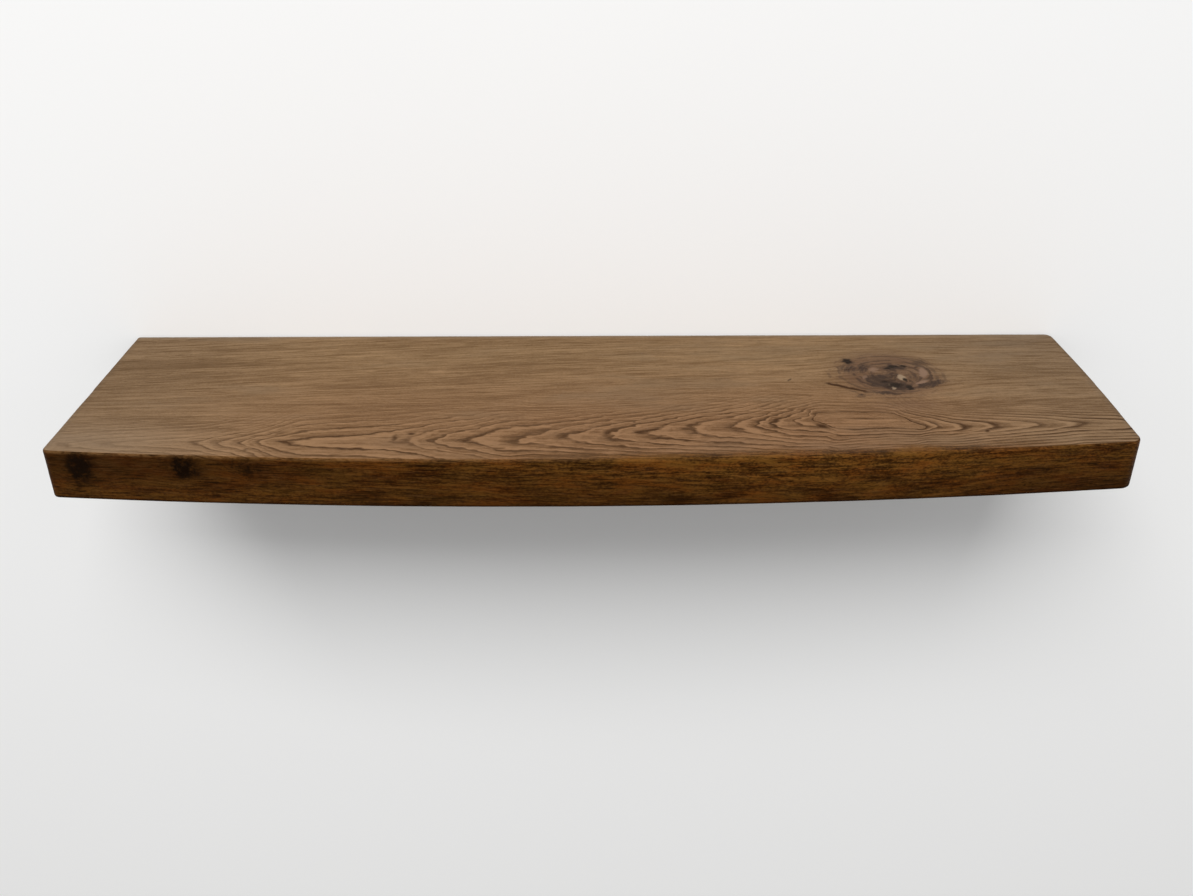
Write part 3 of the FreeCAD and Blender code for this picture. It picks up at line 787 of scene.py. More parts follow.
def stained_oak(finish, figure, marks, shape):
    """Dark stained and waxed oak: the top is painted paler and greyer than the edges, partly for rubbing and
    partly as painted light from above and painted sheen; the edges keep their stain.
    """
    material, tree, place = new_material("stained_oak")
    oak, knots = used(tree, figure, Place=place), used(tree, marks, Place=place)
    facing = tree.split(tree.node("ShaderNodeTexCoord").outputs["Normal"])
    upward, at_end = facing[2], tree.smooth(tree.absolute(facing[0]), 0.75, 0.95)
    waver = tree.noise(place, (38.0, 9.0, 9.0), 3.0, 0.65)[0]
    # Where this mask is on, the top's paler colours are used: partly rubbing, partly painted light from
    # above.
    top = tree.times(tree.smooth(upward, 0.72, 0.985), tree.minus(1.0, unrubbed(tree, shape, place, waver)))
    speckle = tree.noise(place, (2.2, 1.6, 1.4), 1.0)[0]
    shade = tree.smooth(tree.add(oak["Streak"], tree.swing(oak["Tone"], 0.30), tree.swing(speckle, 0.16)),
                        0.35, 0.65)
    dark = tree.most(oak["Ring"], tree.times(oak["Pore"], 0.42), clamp=True)

    edge_wood = edge_colour(tree, finish, oak, place, speckle, at_end)
    edge_wood = tree.blend(knots["Edge Char"], edge_wood, finish.edge_dark)
    # Painted light: the underside is coloured lighter than the edges' stain, where little light reaches it.
    under_wood = tree.blend(shade, finish.under_brown, finish.under_light)
    under_wood = tree.blend(tree.times(dark, 0.8), under_wood, finish.edge_dark)
    wood = tree.blend(tree.smooth(upward, -0.6, -0.95), edge_wood, under_wood)
    wood = tree.blend(top, wood, top_colour(tree, finish, oak, place, shade, dark))
    for mark, tint, strength in (("Halo", finish.knot_halo, 0.72), ("Dark", finish.knot_dark, 0.97),
                                 ("Pink", finish.knot_pink, 0.8), ("Fleck", finish.knot_fleck, 0.9),
                                 ("Char", finish.knot_char, 0.95), ("Crack", finish.top_dark, 1.0)):
        wood = tree.blend(tree.times(knots[mark], top, strength), wood, tint)

    height = tree.add(oak["Height"], tree.times(knots["Char"], -0.6))
    surface(tree, height, 0.35, 0.00025, {
        "Base Color": wood, "IOR": 1.45, "Specular IOR Level": 0.06,
        "Specular Tint": (1.0, 0.55, 0.20, 1.0),
        "Roughness": tree.add(0.50, tree.times(oak["Pore"], 0.2), tree.times(oak["Streak"], 0.14))})
    return material


def bare_oak(finish, figure):
    """Unstained oak, where the recess and the bores were cut after the board was stained."""
    material, tree, place = new_material("bare_oak")
    oak = used(tree, figure, Place=place)
    wood = tree.blend(tree.smooth(oak["Streak"], 0.3, 0.7),
                      tree.blend(0.5, finish.bare_dark, finish.bare_light), finish.bare_light)
    wood = tree.blend(tree.most(tree.times(oak["Ring"], 0.7), oak["Pore"]), wood, finish.bare_dark)
    surface(tree, oak["Height"], 0.5, 0.0003, {
        "Base Color": wood, "Roughness": tree.add(0.68, tree.times(oak["Pore"], 0.15))})
    return material


# ------------------------------------------------------------------ the board's mesh

DRILL_POINT = 118.0        # angle of the drill that made the bores
BOARD_SHARP = 32.0         # angle between faces from which an edge of the board or the rods is sharp
THREAD_SHARP = 34.0        # the same for threaded pieces


def mesh_lines(half, step, edge_step):
    """Places from -half to half: close together at both ends, widening to the step."""
    growth = 1.18
    near, gap = [0.0], edge_step
    while gap < step:
        near.append(near[-1] + gap)
        gap *= growth
    middle = 2 * (half - near[-1])
    count = math.ceil(middle / step)
    inner = np.linspace(near[-1] - half, half - near[-1], count + 1)
    ends = np.array(near[:-1])
    return np.concatenate([ends - half, inner, (half - ends)[::-1]])


def block(x_lines, y_lines, z_lines):
    """A closed box of quads with the given lines across it: its corners' places and its faces."""
    shape = (len(x_lines), len(y_lines), len(z_lines))
    grid = np.stack(np.meshgrid(x_lines, y_lines, z_lines, indexing="ij"), -1)
    skin = np.zeros(shape, bool)
    for axis in range(3):
        for end in (0, -1):
            skin[tuple(end if a == axis else slice(None) for a in range(3))] = True
    number = np.full(shape, -1)
    number[skin] = np.arange(skin.sum())
    faces = []
    for axis in range(3):
        for end in (0, -1):
            side = number[tuple(end if a == axis else slice(None) for a in range(3))]
            quads = np.stack([side[:-1, :-1], side[1:, :-1], side[1:, 1:], side[:-1, 1:]], -1)
            quads = quads.reshape(-1, 4)
            outward = (end == -1) == (axis != 1)
            faces.append(quads if outward else quads[:, ::-1])
    return grid[skin], np.concatenate(faces)


def eased_distance(points, half, radius, ease):
    """Distance outside a box whose upright corners and arrises are rounded."""
    plan = np.abs(points[:, :2]) - half[:2] + radius[:, None]
    plan = np.minimum(plan.max(1), 0) + np.hypot(*np.maximum(plan, 0).T) - radius
    side = np.stack([plan, np.abs(points[:, 2]) - half[2]], -1) + ease[:, None]
    return np.minimum(side.max(1), 0) + np.hypot(*np.maximum(side, 0).T) - ease


def eased(points, half, radius, ease):
    """The points, moved onto the rounded box."""
    small, rounds = 1e-6, 8
    for _ in range(rounds):
        here = eased_distance(points, half, radius, ease)
        slope = np.stack([
            (eased_distance(points + small * axis, half, radius, ease) - here) / small
            for axis in np.eye(3)], -1)
        slope /= np.maximum(np.linalg.norm(slope, axis=1), 1e-9)[:, None]
        points = points - here[:, None] * slope
    return points


def wander(places, size, seed):
    """Smooth noise from -1 to 1 at each place, with features of the given size."""
    shift = Vector((seed * 13.7, seed * 7.3, seed * 3.1))
    return np.array([noise.noise(Vector(p) / size + shift) for p in places])


def eased_gap(points, half):
    """How far each point of the box's skin is from its nearest arris."""
    return np.sort(half - np.abs(points), axis=1)[:, 1]


def front_arc(x, half_length, bow):
    """Height of a circle's arc above its chord."""
    radius = (half_length ** 2 + bow ** 2) / (2 * bow)
    return np.sqrt(radius ** 2 - np.minimum(np.abs(x), half_length) ** 2) - (radius - bow)


def board_skin(shape):
    """The board's outside: a bowed slab with eased, slightly uneven arrises."""
    low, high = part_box("oak_board")
    mean_depth = (shape.left_depth + shape.right_depth) / 2
    half = np.array([-low.x, mean_depth / 2, (high.z - low.z) / 2])
    lines = [mesh_lines(h, shape.mesh_step, shape.edge_step) for h in half]
    points, faces = block(*lines)

    right, front, upper = points[:, 0] > 0, points[:, 1] < 0, points[:, 2] > 0
    radius = np.where(right, np.where(front, shape.front_right_radius, shape.back_right_radius),
                      np.where(front, shape.front_left_radius, shape.back_left_radius))
    uneven = wander(points * (1, 0.3, 0.3), 0.045, 1)
    ease = np.where(upper, shape.ease + shape.ease_change * uneven * np.where(front, 1.0, 0.4),
                    shape.low_ease)
    arris = np.clip(1 - eased_gap(points, half) / (2.2 * shape.ease), 0, 1)
    points = eased(points, half, radius, ease)

    wave = 0.5 + 0.5 * (0.7 * wander(points, 0.035, 2) + 0.3 * wander(points, 0.011, 3))
    inward = shape.edge_waver * arris * np.clip(wave, 0, 1) * np.where(upper & front, 1.0, 0.35)
    hollow = shape.surface_waver * (0.5 + 0.5 * wander(points, 0.06, 4))
    on_face = np.abs(points[:, 2]) / half[2] > 0.999
    lean = np.sign(points) * np.clip((np.abs(points) - half + 2.5 * shape.ease) / shape.ease, 0, 1)
    lean /= np.maximum(np.linalg.norm(lean, axis=1), 1e-9)[:, None]
    points = points - lean * inward[:, None]
    points[:, 2] -= hollow * np.sign(points[:, 2]) * on_face

    across = points[:, 0] / half[0]
    depth_line = mean_depth + (shape.right_depth - shape.left_depth) / 2 * across
    arc = front_arc(points[:, 0], half[0], shape.front_bow)
    backward = (half[1] - points[:, 1]) / (2 * half[1])
    belly = 4 * shape.end_belly * backward * (1 - backward)
    set_back = shape.end_set_back * (1 - backward)
    stretch = np.where(right, 1 + (belly - set_back) / half[0], 1.0)
    placed = np.stack([points[:, 0] * stretch, -backward * (depth_line + arc), points[:, 2]], -1)
    return placed, faces


def mesh_from(name, points, faces):
    """A new mesh object at the origin."""
    mesh = bpy.data.meshes.new(name)
    mesh.from_pydata([tuple(p) for p in points], [], [tuple(f) for f in faces])
    mesh.validate()
    return linked(name, mesh)


def linked(name, data):
    """A new object of the scene that shows a mesh, a camera or a light."""
    made = bpy.data.objects.new(name, data)
    bpy.context.scene.collection.objects.link(made)
    return made


def turned(axis, start, profile, sides=48):
    """A closed solid of revolution: a list of (distance along, radius), both ends on the axis."""
    along = Vector(axis)
    first = along.orthogonal().normalized()
    second = along.cross(first)
    points = [start + along * profile[0][0]]
    for distance, radius in profile[1:-1]:
        for step in range(sides):
            angle = 2 * math.pi * step / sides
            points.append(start + along * distance
                          + (first * math.cos(angle) + second * math.sin(angle)) * radius)
    points.append(start + along * profile[-1][0])
    faces = []
    rows = len(profile) - 2
    for step in range(sides):
        after = (step + 1) % sides
        faces.append((0, 1 + after, 1 + step))
        for row in range(rows - 1):
            base = 1 + row * sides
            faces.append((base + step, base + after, base + sides + after, base + sides + step))
        base = 1 + (rows - 1) * sides
        faces.append((base + step, base + after, len(points) - 1))
    return points, faces


def cutters(shape):
    """The bodies that are cut out of the board: the recess, the rod bores and the lock holes."""
    bar_low, bar_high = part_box("bracket_bar")
    recess = bmesh.new()
    bmesh.ops.create_cube(recess, size=1.0)
    front = bar_low.y - shape.recess_floor_gap
    size = Vector((bar_high.x - bar_low.x + 2 * shape.recess_end_gap, 2 * -front,
                   bar_high.z - bar_low.z + 2 * shape.recess_side_gap))
    bmesh.ops.scale(recess, vec=size, verts=recess.verts)
    upright = [e for e in recess.edges if abs((e.verts[0].co - e.verts[1].co).y) > size.y / 2]
    bmesh.ops.bevel(recess, geom=upright, offset=shape.router_radius, segments=8, affect="EDGES",
                    profile=0.5)
    mesh = bpy.data.meshes.new("recess_cutter")
    recess.to_mesh(mesh)
    recess.free()
    made = [linked("recess_cutter", mesh)]

    for rod, weld in zip(RODS, WELDS):
        low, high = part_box(rod)
        middle = (low + high) / 2
        bore = (high.x - low.x) / 2 + shape.rod_gap
        mouth = (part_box(weld)[1].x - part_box(weld)[0].x) / 2 + shape.weld_gap
        depth = front - (mouth - bore)
        end = low.y - shape.rod_end_gap
        point = bore / math.tan(math.radians(DRILL_POINT / 2))
        profile = [(0.0, 0.0), (0.0, mouth), (-front, mouth), (-depth, bore), (-end, bore),
                   (-end + point, 0.0)]
        made.append(mesh_from("bore_cutter", *turned((0, -1, 0), Vector((middle.x, 0, 0)), profile)))

    board_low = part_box("oak_board")[0]
    for insert, screw in zip(INSERTS, LOCK_SCREWS):
        low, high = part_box(insert)
        screw_low, screw_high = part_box(screw)
        wide = (high.x - low.x) / 2
        narrow = (screw_high.x - screw_low.x) / 2 + shape.lock_gap
        foot = Vector((low.x + wide, low.y + wide, 2 * board_low.z))
        top = high.z - foot.z
        profile = [(0.0, 0.0), (0.0, wide), (top, wide), (top, narrow), (-foot.z, narrow),
                   (-foot.z, 0.0)]
        made.append(mesh_from("lock_cutter", *turned((0, 0, 1), foot, profile)))
    return made


def cut(piece, tool):
    """Cuts the tool out of a piece and throws the tool away."""
    label = "%s out of %s" % (tool.name, piece.name)
    step = piece.modifiers.new("cut", "BOOLEAN")
    step.operation = "DIFFERENCE"
    step.solver = "MANIFOLD"
    step.object = tool
    bpy.context.view_layer.update()
    result = bpy.data.meshes.new_from_object(piece.evaluated_get(
        bpy.context.evaluated_depsgraph_get()))
    piece.modifiers.remove(step)
    piece.data = result
    bpy.data.objects.remove(tool)
    if len(result.polygons) == 0:
        raise RuntimeError("cutting %s left nothing" % label)


def mark_machined(board, shape):
    """Gives the second material to the faces that lie inside the board's skin."""
    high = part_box("oak_board")[1]
    deep, end_band, front_band = 0.0004, 0.03, 0.01
    for face in board.data.polygons:
        c = face.center
        off_ends, off_sides = high.x - abs(c.x), high.z - abs(c.z)
        on_skin = (c.y > -deep or off_sides < 2.5 * shape.ease or off_ends < end_band
                   or c.y < front_band - shape.right_depth)
        in_recess = off_ends > end_band and -0.01 < c.y < -deep and off_sides > 2 * shape.ease
        face.material_index = 1 if in_recess or not on_skin else 0


def show_smooth(piece, sharp):
    """Smooth shading, broken at edges from an angle on."""
    piece.data.shade_smooth()
    piece.data.set_sharp_from_angle(angle=math.radians(sharp))


def finished(piece, body, slot, *replaced):
    """Says what a fitting rides on and what it stands for; its slot is not used."""
    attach(piece, body)
    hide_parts(*replaced)


class OAKSHELF_OT_board(Operator):
    """Builds the oak board with its recess, bores and lock holes"""
    bl_idname = "oak_shelf.board"
    bl_label = "Oak Board"

    def execute(self, context):
        shape = context.scene.oak_shelf_board
        finish = context.scene.oak_shelf_oak
        board = mesh_from("bowed_oak_board", *board_skin(shape))
        for tool in cutters(shape):
            cut(board, tool)
        figure = oak_figure()
        board.data.materials.clear()
        board.data.materials.append(stained_oak(finish, figure, knot_marks(), shape))
        board.data.materials.append(bare_oak(finish, figure))
        mark_machined(board, shape)
        show_smooth(board, BOARD_SHARP)
        finished(board, "shelf", "stained_oak", "oak_board")
        return {"FINISHED"}


# ------------------------------------------------------------------ metal and nylon

def wear_mask():
    """Where a finish is worn: near an edge, unevenly, and in stray scratches."""
    group = new_group("wear", "ShaderNodeTree", [
        ("Place", VECTOR), ("Edge Distance", FLOAT, 10.0), ("Reach", FLOAT, 1.0),
        ("Scratches", FLOAT, 0.3)], [("Worn", FLOAT), ("Scratch", FLOAT), ("Rough", FLOAT)])
    tree = Tree(group)
    place = tree.entry("Place")
    broad = tree.noise(place, (14.0, 14.0, 14.0), 3.0, 0.65)[0]
    small = tree.noise(place, (2.2, 2.2, 2.2), 2.0, 0.6)[0]
    near = tree.minus(1.0, tree.ratio(tree.entry("Edge Distance"), tree.entry("Reach")))
    worn = tree.add(near, tree.swing(broad, 3.4), tree.swing(small, 1.6))
    marks = 0.0
    for sizes in ((30.0, 0.5, 6.0), (4.0, 26.0, 0.5), (0.6, 5.0, 22.0)):
        lines = tree.noise(place, sizes, 1.0)[0]
        marks = tree.most(marks, tree.smooth(lines, 0.70, 0.78))
    marks = tree.times(marks, tree.entry("Scratches"), tree.smooth(broad, 0.45, 0.62))
    tree.give(Worn=tree.smooth(worn, 0.35, 0.75), Scratch=marks,
              Rough=tree.add(tree.times(broad, 0.6), tree.times(small, 0.4)))
    return group


def powder_coat(finish, wear):
    """Black powder coat, dimpled, rubbed through at the edges and where the board slides."""
    material, tree, place = new_material("bracket_coat")
    x, y, z = tree.split(place)
    bar_low, bar_high = (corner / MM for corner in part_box("bracket_bar"))
    rod_low, rod_high = (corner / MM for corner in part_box("support_rod_right"))
    rod_x, tip = (rod_low.x + rod_high.x) / 2, rod_low.y
    to_end = tree.minus(bar_high.x, tree.absolute(x))
    to_side = tree.minus(bar_high.z, tree.absolute(z))
    to_face = tree.math("MINIMUM", tree.absolute(tree.minus(y, bar_low.y)),
                        tree.absolute(tree.minus(y, bar_high.y)))
    gaps = (to_end, to_side, to_face)
    bar_edge = tree.minus(tree.minus(tree.add(*gaps), tree.fold("MINIMUM", gaps)), tree.most(*gaps))
    on_rod = tree.math("LESS_THAN", y, bar_low.y - 3.0)
    tip_edge = tree.absolute(tree.minus(y, tip + 1.5))
    edge = tree.add(tree.times(tree.minus(1.0, on_rod), bar_edge), tree.times(on_rod, tip_edge))
    worn = used(tree, wear, Place=place, Edge_Distance=edge, Reach=1.1, Scratches=0.5)

    centred = tree.absolute(x)
    aside = tree.math("MINIMUM", centred, tree.absolute(tree.minus(centred, rod_x)))
    across = tree.join(tree.times(aside, 1 / 0.8), tree.times(y, 1 / 70.0), tree.times(z, 1 / 0.8))
    rub = tree.smooth(tree.noise(across, None, 2.0, 0.6)[0], 0.50, 0.72)
    rub = tree.times(rub, on_rod, tree.smooth(z, 3.2, 5.6), 0.85)
    bare = tree.most(worn["Worn"], worn["Scratch"], rub)
    peel = tree.noise(place, (1.3, 1.3, 1.3), 1.0)[0]
    speck = tree.noise(place, (0.5, 0.5, 0.5), 1.0)[0]
    dust = tree.times(tree.smooth(tree.noise(place, (5.0, 5.0, 5.0), 4.0, 0.7)[0], 0.5, 0.75), 0.22)
    coat = tree.blend(dust, finish.coat, finish.dust)
    coat = tree.blend(tree.smooth(speck, 0.62, 0.72, 0.0, 0.5), coat, finish.coat_speck)
    metal = tree.blend(worn["Rough"], finish.steel, finish.steel_dark)
    rough = tree.add(0.42, tree.times(peel, 0.16), tree.times(dust, 0.8), tree.times(bare, -0.12))
    height = tree.add(tree.times(peel, 0.8), tree.times(speck, 0.25), tree.times(bare, -0.5))
    surface(tree, height, 0.45, 0.00012, {
        "Base Color": tree.blend(bare, coat, metal), "Metallic": bare, "Roughness": rough})
    return material


def bright_metal(name, light, dark, wear, roughness, streak_sizes, scratches):
    """A bare or plated metal that is darker in its hollows and polished on its crests."""
    material, tree, place = new_material(name)
    crest = tree.node("ShaderNodeAttribute", attribute_name="crest").outputs["Fac"]
    worn = used(tree, wear, Place=place, Edge_Distance=6.0, Reach=1.0, Scratches=scratches)
    streaks = tree.noise(place, streak_sizes, 2.0, 0.6)[0]
    hollow = tree.smooth(crest, 0.9, 0.1, 0.0, 0.75)
    stain = tree.smooth(tree.noise(place, (3.5, 3.5, 3.5), 4.0, 0.7)[0], 0.45, 0.7)
    darkness = tree.most(hollow, tree.times(stain, 0.55), clamp=True)
    base = tree.blend(darkness, light, dark)
    base = tree.blend(tree.times(worn["Scratch"], 0.8), base, light)
    rough = tree.add(roughness, tree.times(streaks, 0.14), tree.times(darkness, 0.2),
                     tree.times(worn["Rough"], 0.06))
    height = tree.add(tree.times(streaks, 0.6), tree.times(worn["Scratch"], -0.8), tree.times(stain, 0.25))
    surface(tree, height, 0.3, 0.00006, {"Base Color": base, "Metallic": 1.0, "Roughness": rough})
    return material


def moulded_nylon(finish, wear):
    """Grey nylon, faintly clouded, scuffed where it was knocked in."""
    material, tree, place = new_material("grey_nylon")
    crest = tree.node("ShaderNodeAttribute", attribute_name="crest").outputs["Fac"]
    worn = used(tree, wear, Place=place, Edge_Distance=8.0, Reach=1.0, Scratches=0.9)
    cloud = tree.noise(place, (5.0, 9.0, 5.0), 3.0, 0.6)[0]
    grain = tree.noise(place, (0.25, 0.25, 0.25), 1.0)[0]
    base = tree.blend(tree.smooth(cloud, 0.35, 0.65), finish.nylon_dark, finish.nylon)
    base = tree.blend(tree.times(crest, 0.25), base, finish.nylon_pale)
    base = tree.blend(worn["Scratch"], base, finish.nylon_pale)
    rough = tree.add(0.42, tree.times(cloud, 0.15), tree.times(worn["Scratch"], 0.2))
    height = tree.add(tree.times(grain, 0.4), tree.times(worn["Scratch"], -0.8))
    surface(tree, height, 0.3, 0.00008, {
        "Base Color": base, "Roughness": rough, "Subsurface Weight": 0.12,
        "Subsurface Radius": (0.002, 0.002, 0.002)})
    return material


# ------------------------------------------------------------------ threads and rows

def thread_tree():
    """Geometry nodes that cut a thread or rings round a blank and repeat it where it is needed.

    The blank stands on the Z axis. Its copies stand in pairs, a pair to each rod.
    """
    group = new_group("threaded row", "GeometryNodeTree", [
        ("Blank", "NodeSocketGeometry"),
        ("Pitch", FLOAT, 0.002), ("Depth", FLOAT, 0.0005), ("Crest Sharpness", FLOAT, 1.0),
        ("Thread Start", FLOAT, 0.0), ("Thread End", FLOAT, 0.01), ("Least Radius", FLOAT, 0.001),
        ("Helix", FLOAT, 1.0), ("First Place", VECTOR), ("Turn", "NodeSocketRotation"),
        ("Rows", "NodeSocketInt", 1), ("Row Spacing", FLOAT, 0.3), ("Pair Offset", FLOAT, 0.0),
        ("Pair", "NodeSocketInt", 1), ("Finish", "NodeSocketMaterial")],
        [("Row", "NodeSocketGeometry")])
    tree = Tree(group)
    x, y, z = tree.split(tree.node("GeometryNodeInputPosition").outputs[0])
    radius = tree.length(x, y)
    turns = tree.times(tree.math("ARCTAN2", y, x), tree.entry("Helix"), 1 / math.tau)
    wave = tree.math("FRACT", tree.minus(tree.ratio(z, tree.entry("Pitch")), turns))
    wave = tree.absolute(tree.minus(tree.times(wave, 2.0), 1.0))
    crest = tree.math("POWER", wave, tree.entry("Crest Sharpness"))
    fade = tree.times(tree.entry("Pitch"), 0.7)

    def edge(first, second):
        return tree.math("DIVIDE", tree.minus(first, second), fade, clamp=True)

    threaded = tree.times(edge(z, tree.entry("Thread Start")), edge(tree.entry("Thread End"), z),
                          tree.math("GREATER_THAN", radius, tree.entry("Least Radius")))
    sunk = tree.times(tree.minus(1.0, crest), threaded, tree.entry("Depth"))
    scale = tree.ratio(tree.minus(radius, sunk), tree.most(radius, 1e-6))
    moved = tree.join(tree.times(x, scale), tree.times(y, scale), z)
    stored = tree.node("GeometryNodeStoreNamedAttribute",
                       {"Geometry": tree.entry("Blank"), "Name": "crest"}, data_type="FLOAT",
                       domain="POINT")
    tree.feed(stored.inputs["Value"], tree.minus(1.0, tree.times(tree.minus(1.0, crest), threaded)))
    cut_blank = tree.node("GeometryNodeSetPosition",
                          {"Geometry": stored.outputs[0], "Position": moved}).outputs[0]

    rows = tree.node("GeometryNodeMeshLine", {
        "Count": tree.entry("Rows"), "Start Location": tree.entry("First Place"),
        "Offset": tree.join(tree.entry("Row Spacing"), 0.0, 0.0)}, mode="OFFSET").outputs[0]
    start = tree.join(tree.times(tree.entry("Pair Offset"), -1.0), 0.0, 0.0)
    pair = tree.node("GeometryNodeMeshLine", {
        "Count": tree.entry("Pair"), "Start Location": start,
        "Offset": tree.join(tree.times(tree.entry("Pair Offset"), 2.0), 0.0, 0.0)},
        mode="OFFSET").outputs[0]
    pairs = tree.node("GeometryNodeInstanceOnPoints", {"Points": rows, "Instance": pair}).outputs[0]
    points = tree.node("GeometryNodeRealizeInstances", {"Geometry": pairs}).outputs[0]
    row = tree.node("GeometryNodeInstanceOnPoints", {
        "Points": points, "Instance": cut_blank, "Rotation": tree.entry("Turn")}).outputs[0]
    row = tree.node("GeometryNodeRealizeInstances", {"Geometry": row}).outputs[0]
    row = tree.node("GeometryNodeSetMaterial", {"Geometry": row, "Material": tree.entry("Finish")})
    tree.give(Row=row.outputs[0])
    return group


def from_tree(name, blank, group, values):
    """The plain mesh that a node tree makes of a blank, which it then throws away."""
    step = blank.modifiers.new("row", "NODES")
    step.node_group = group
    for item in group.interface.items_tree:
        if item.in_out == "INPUT" and item.name in values:
            step[item.identifier] = values[item.name]
    blank.update_tag()
    bpy.context.view_layer.update()
    shown = blank.evaluated_get(bpy.context.evaluated_depsgraph_get())
    mesh = bpy.data.meshes.new_from_object(shown)
    blank.modifiers.remove(step)
    bpy.data.objects.remove(blank)
    if len(mesh.polygons) == 0:
        raise RuntimeError("%s came out empty" % name)
    made = linked(name, mesh)
    show_smooth(made, THREAD_SHARP)
    return made


def with_rings(profile, step, dense):
    """A profile with closely spaced places added where a thread is cut, between two distances."""
    rows = [profile[0]]
    for (near, narrow), (far, wide) in zip(profile, profile[1:]):
        low, high = min(near, far), max(near, far)
        count = 1
        if high - low > step and high > dense[0] and low < dense[1]:
            count = math.ceil((high - low) / step)
        rows += [(near + (far - near) * k / count, narrow + (wide - narrow) * k / count)
                 for k in range(1, count + 1)]
    return rows


def blank_from(name, profile, step, dense, sides):
    """A turned blank on the Z axis, with closely spaced rings where a thread is cut."""
    return mesh_from(name, *turned((0, 0, 1), Vector(), with_rings(profile, step, dense), sides))


def closed_faces(rows, sides):
    """The faces of a tube that closes on itself both ways."""
    return [(row * sides + k, row * sides + (k + 1) % sides,
             (row + 1) % rows * sides + (k + 1) % sides, (row + 1) % rows * sides + k)
            for row in range(rows) for k in range(sides)]


def blank_tube(name, profile, step, dense, sides):
    """A turned tube on the Z axis: an outline that goes up its outside and closes up its bore."""
    rows = with_rings(profile + profile[:1], step, dense)[:-1]
    points = [(radius * math.cos(math.tau * k / sides), radius * math.sin(math.tau * k / sides), along)
              for along, radius in rows for k in range(sides)]
    return recalculated(mesh_from(name, points, closed_faces(len(rows), sides)))


def box_solid(low, high):
    """The corners and faces of a plain cutter."""
    points = [(x, y, z) for x in (low.x, high.x) for y in (low.y, high.y) for z in (low.z, high.z)]
    return points, [(0, 1, 3, 2), (4, 6, 7, 5), (0, 4, 5, 1), (2, 3, 7, 6), (0, 2, 6, 4), (1, 5, 7, 3)]


def plus_prism(name, span, width, depth, taper):
    """A cutter shaped like a plus sign, tapering downwards from just above the XY plane."""
    points = []
    for level, size in ((-0.0002, 1.0), (depth, taper)):
        a, b = span / 2 * size, width / 2 * (0.5 + 0.5 * size)
        ring = [(a, -b), (a, b), (b, b), (b, a), (-b, a), (-b, b), (-a, b), (-a, -b), (-b, -b),
                (-b, -a), (b, -a), (b, -b)]
        points += [(px, py, level) for px, py in ring]
    faces = [list(range(12))[::-1], list(range(12, 24))]
    faces += [(k, (k + 1) % 12, 12 + (k + 1) % 12, 12 + k) for k in range(12)]
    return mesh_from(name, points, faces)


def recalculated(piece):
    """Turns every face of a closed mesh outwards."""
    shell = bmesh.new()
    shell.from_mesh(piece.data)
    bmesh.ops.recalc_face_normals(shell, faces=shell.faces)
    shell.to_mesh(piece.data)
    shell.free()
    return piece


def shared_wear():
    """The one wear group that every metal and nylon finish uses."""
    return bpy.data.node_groups.get("wear") or wear_mask()


def shared_thread():
    """The one tree that makes every threaded piece."""
    return bpy.data.node_groups.get("threaded row") or thread_tree()


def joined(name, shapes, material):
    """One piece made of several closed shapes, each a list of points and a list of faces."""
    points, faces = [], []
    for more, rounds in shapes:
        faces += [tuple(len(points) + k for k in face) for face in rounds]
        points += more
    made = recalculated(mesh_from(name, points, faces))
    made.data.materials.append(material)
    return made


def rod_profile(radius, reach):
    """A round rod with a rolled chamfer at its tip: its distances along and radii."""
    chamfer = 0.0015
    steps = [(0.0, 0.0), (0.0, radius), (reach - chamfer, radius)]
    steps += [(reach - chamfer * (1 - math.sin(turn_by)), radius - chamfer * (1 - math.cos(turn_by)))
              for turn_by in (math.radians(a) for a in (15, 30, 45, 60, 75))]
    return steps + [(reach, radius - chamfer), (reach, 0.0)]


def weld_bead(low, high, rod_radius, ripple, seed):
    """A fillet bead round a rod, laid in overlapping ripples."""
    centre, leg, foot = (low.x + high.x) / 2, high.y - low.y, high.y
    around, across, root = 144, 10, -0.3 * leg
    points = []
    for step in range(around):
        angle = math.tau * step / around
        wobble = noise.noise(Vector((math.cos(angle) * 1.7, math.sin(angle) * 1.7, seed * 5.0)))
        section = []
        for part in range(across + 1):
            slope = math.pi / 2 * part / across
            lag = angle + 0.10 * math.sin(math.pi * (part / across))
            wave = abs(math.sin(lag * 10.0 + seed))
            grow = leg * (0.90 + 0.05 * wobble) + ripple * (wave - 1.0)
            out = grow * (1 - math.sin(slope) * 0.93) if part < across else 0.0
            rise = grow * (1 - math.cos(slope) * 0.93) if part else 0.0
            section.append((min(max(out, 0.0), leg), min(max(rise, 0.0), leg)))
        section += [(root, leg * 0.9), (root, 0.0)]
        points += [(centre + math.cos(angle) * (rod_radius + out), foot - rise,
                    math.sin(angle) * (rod_radius + out)) for out, rise in section]
    return points, closed_faces(around, across + 3)


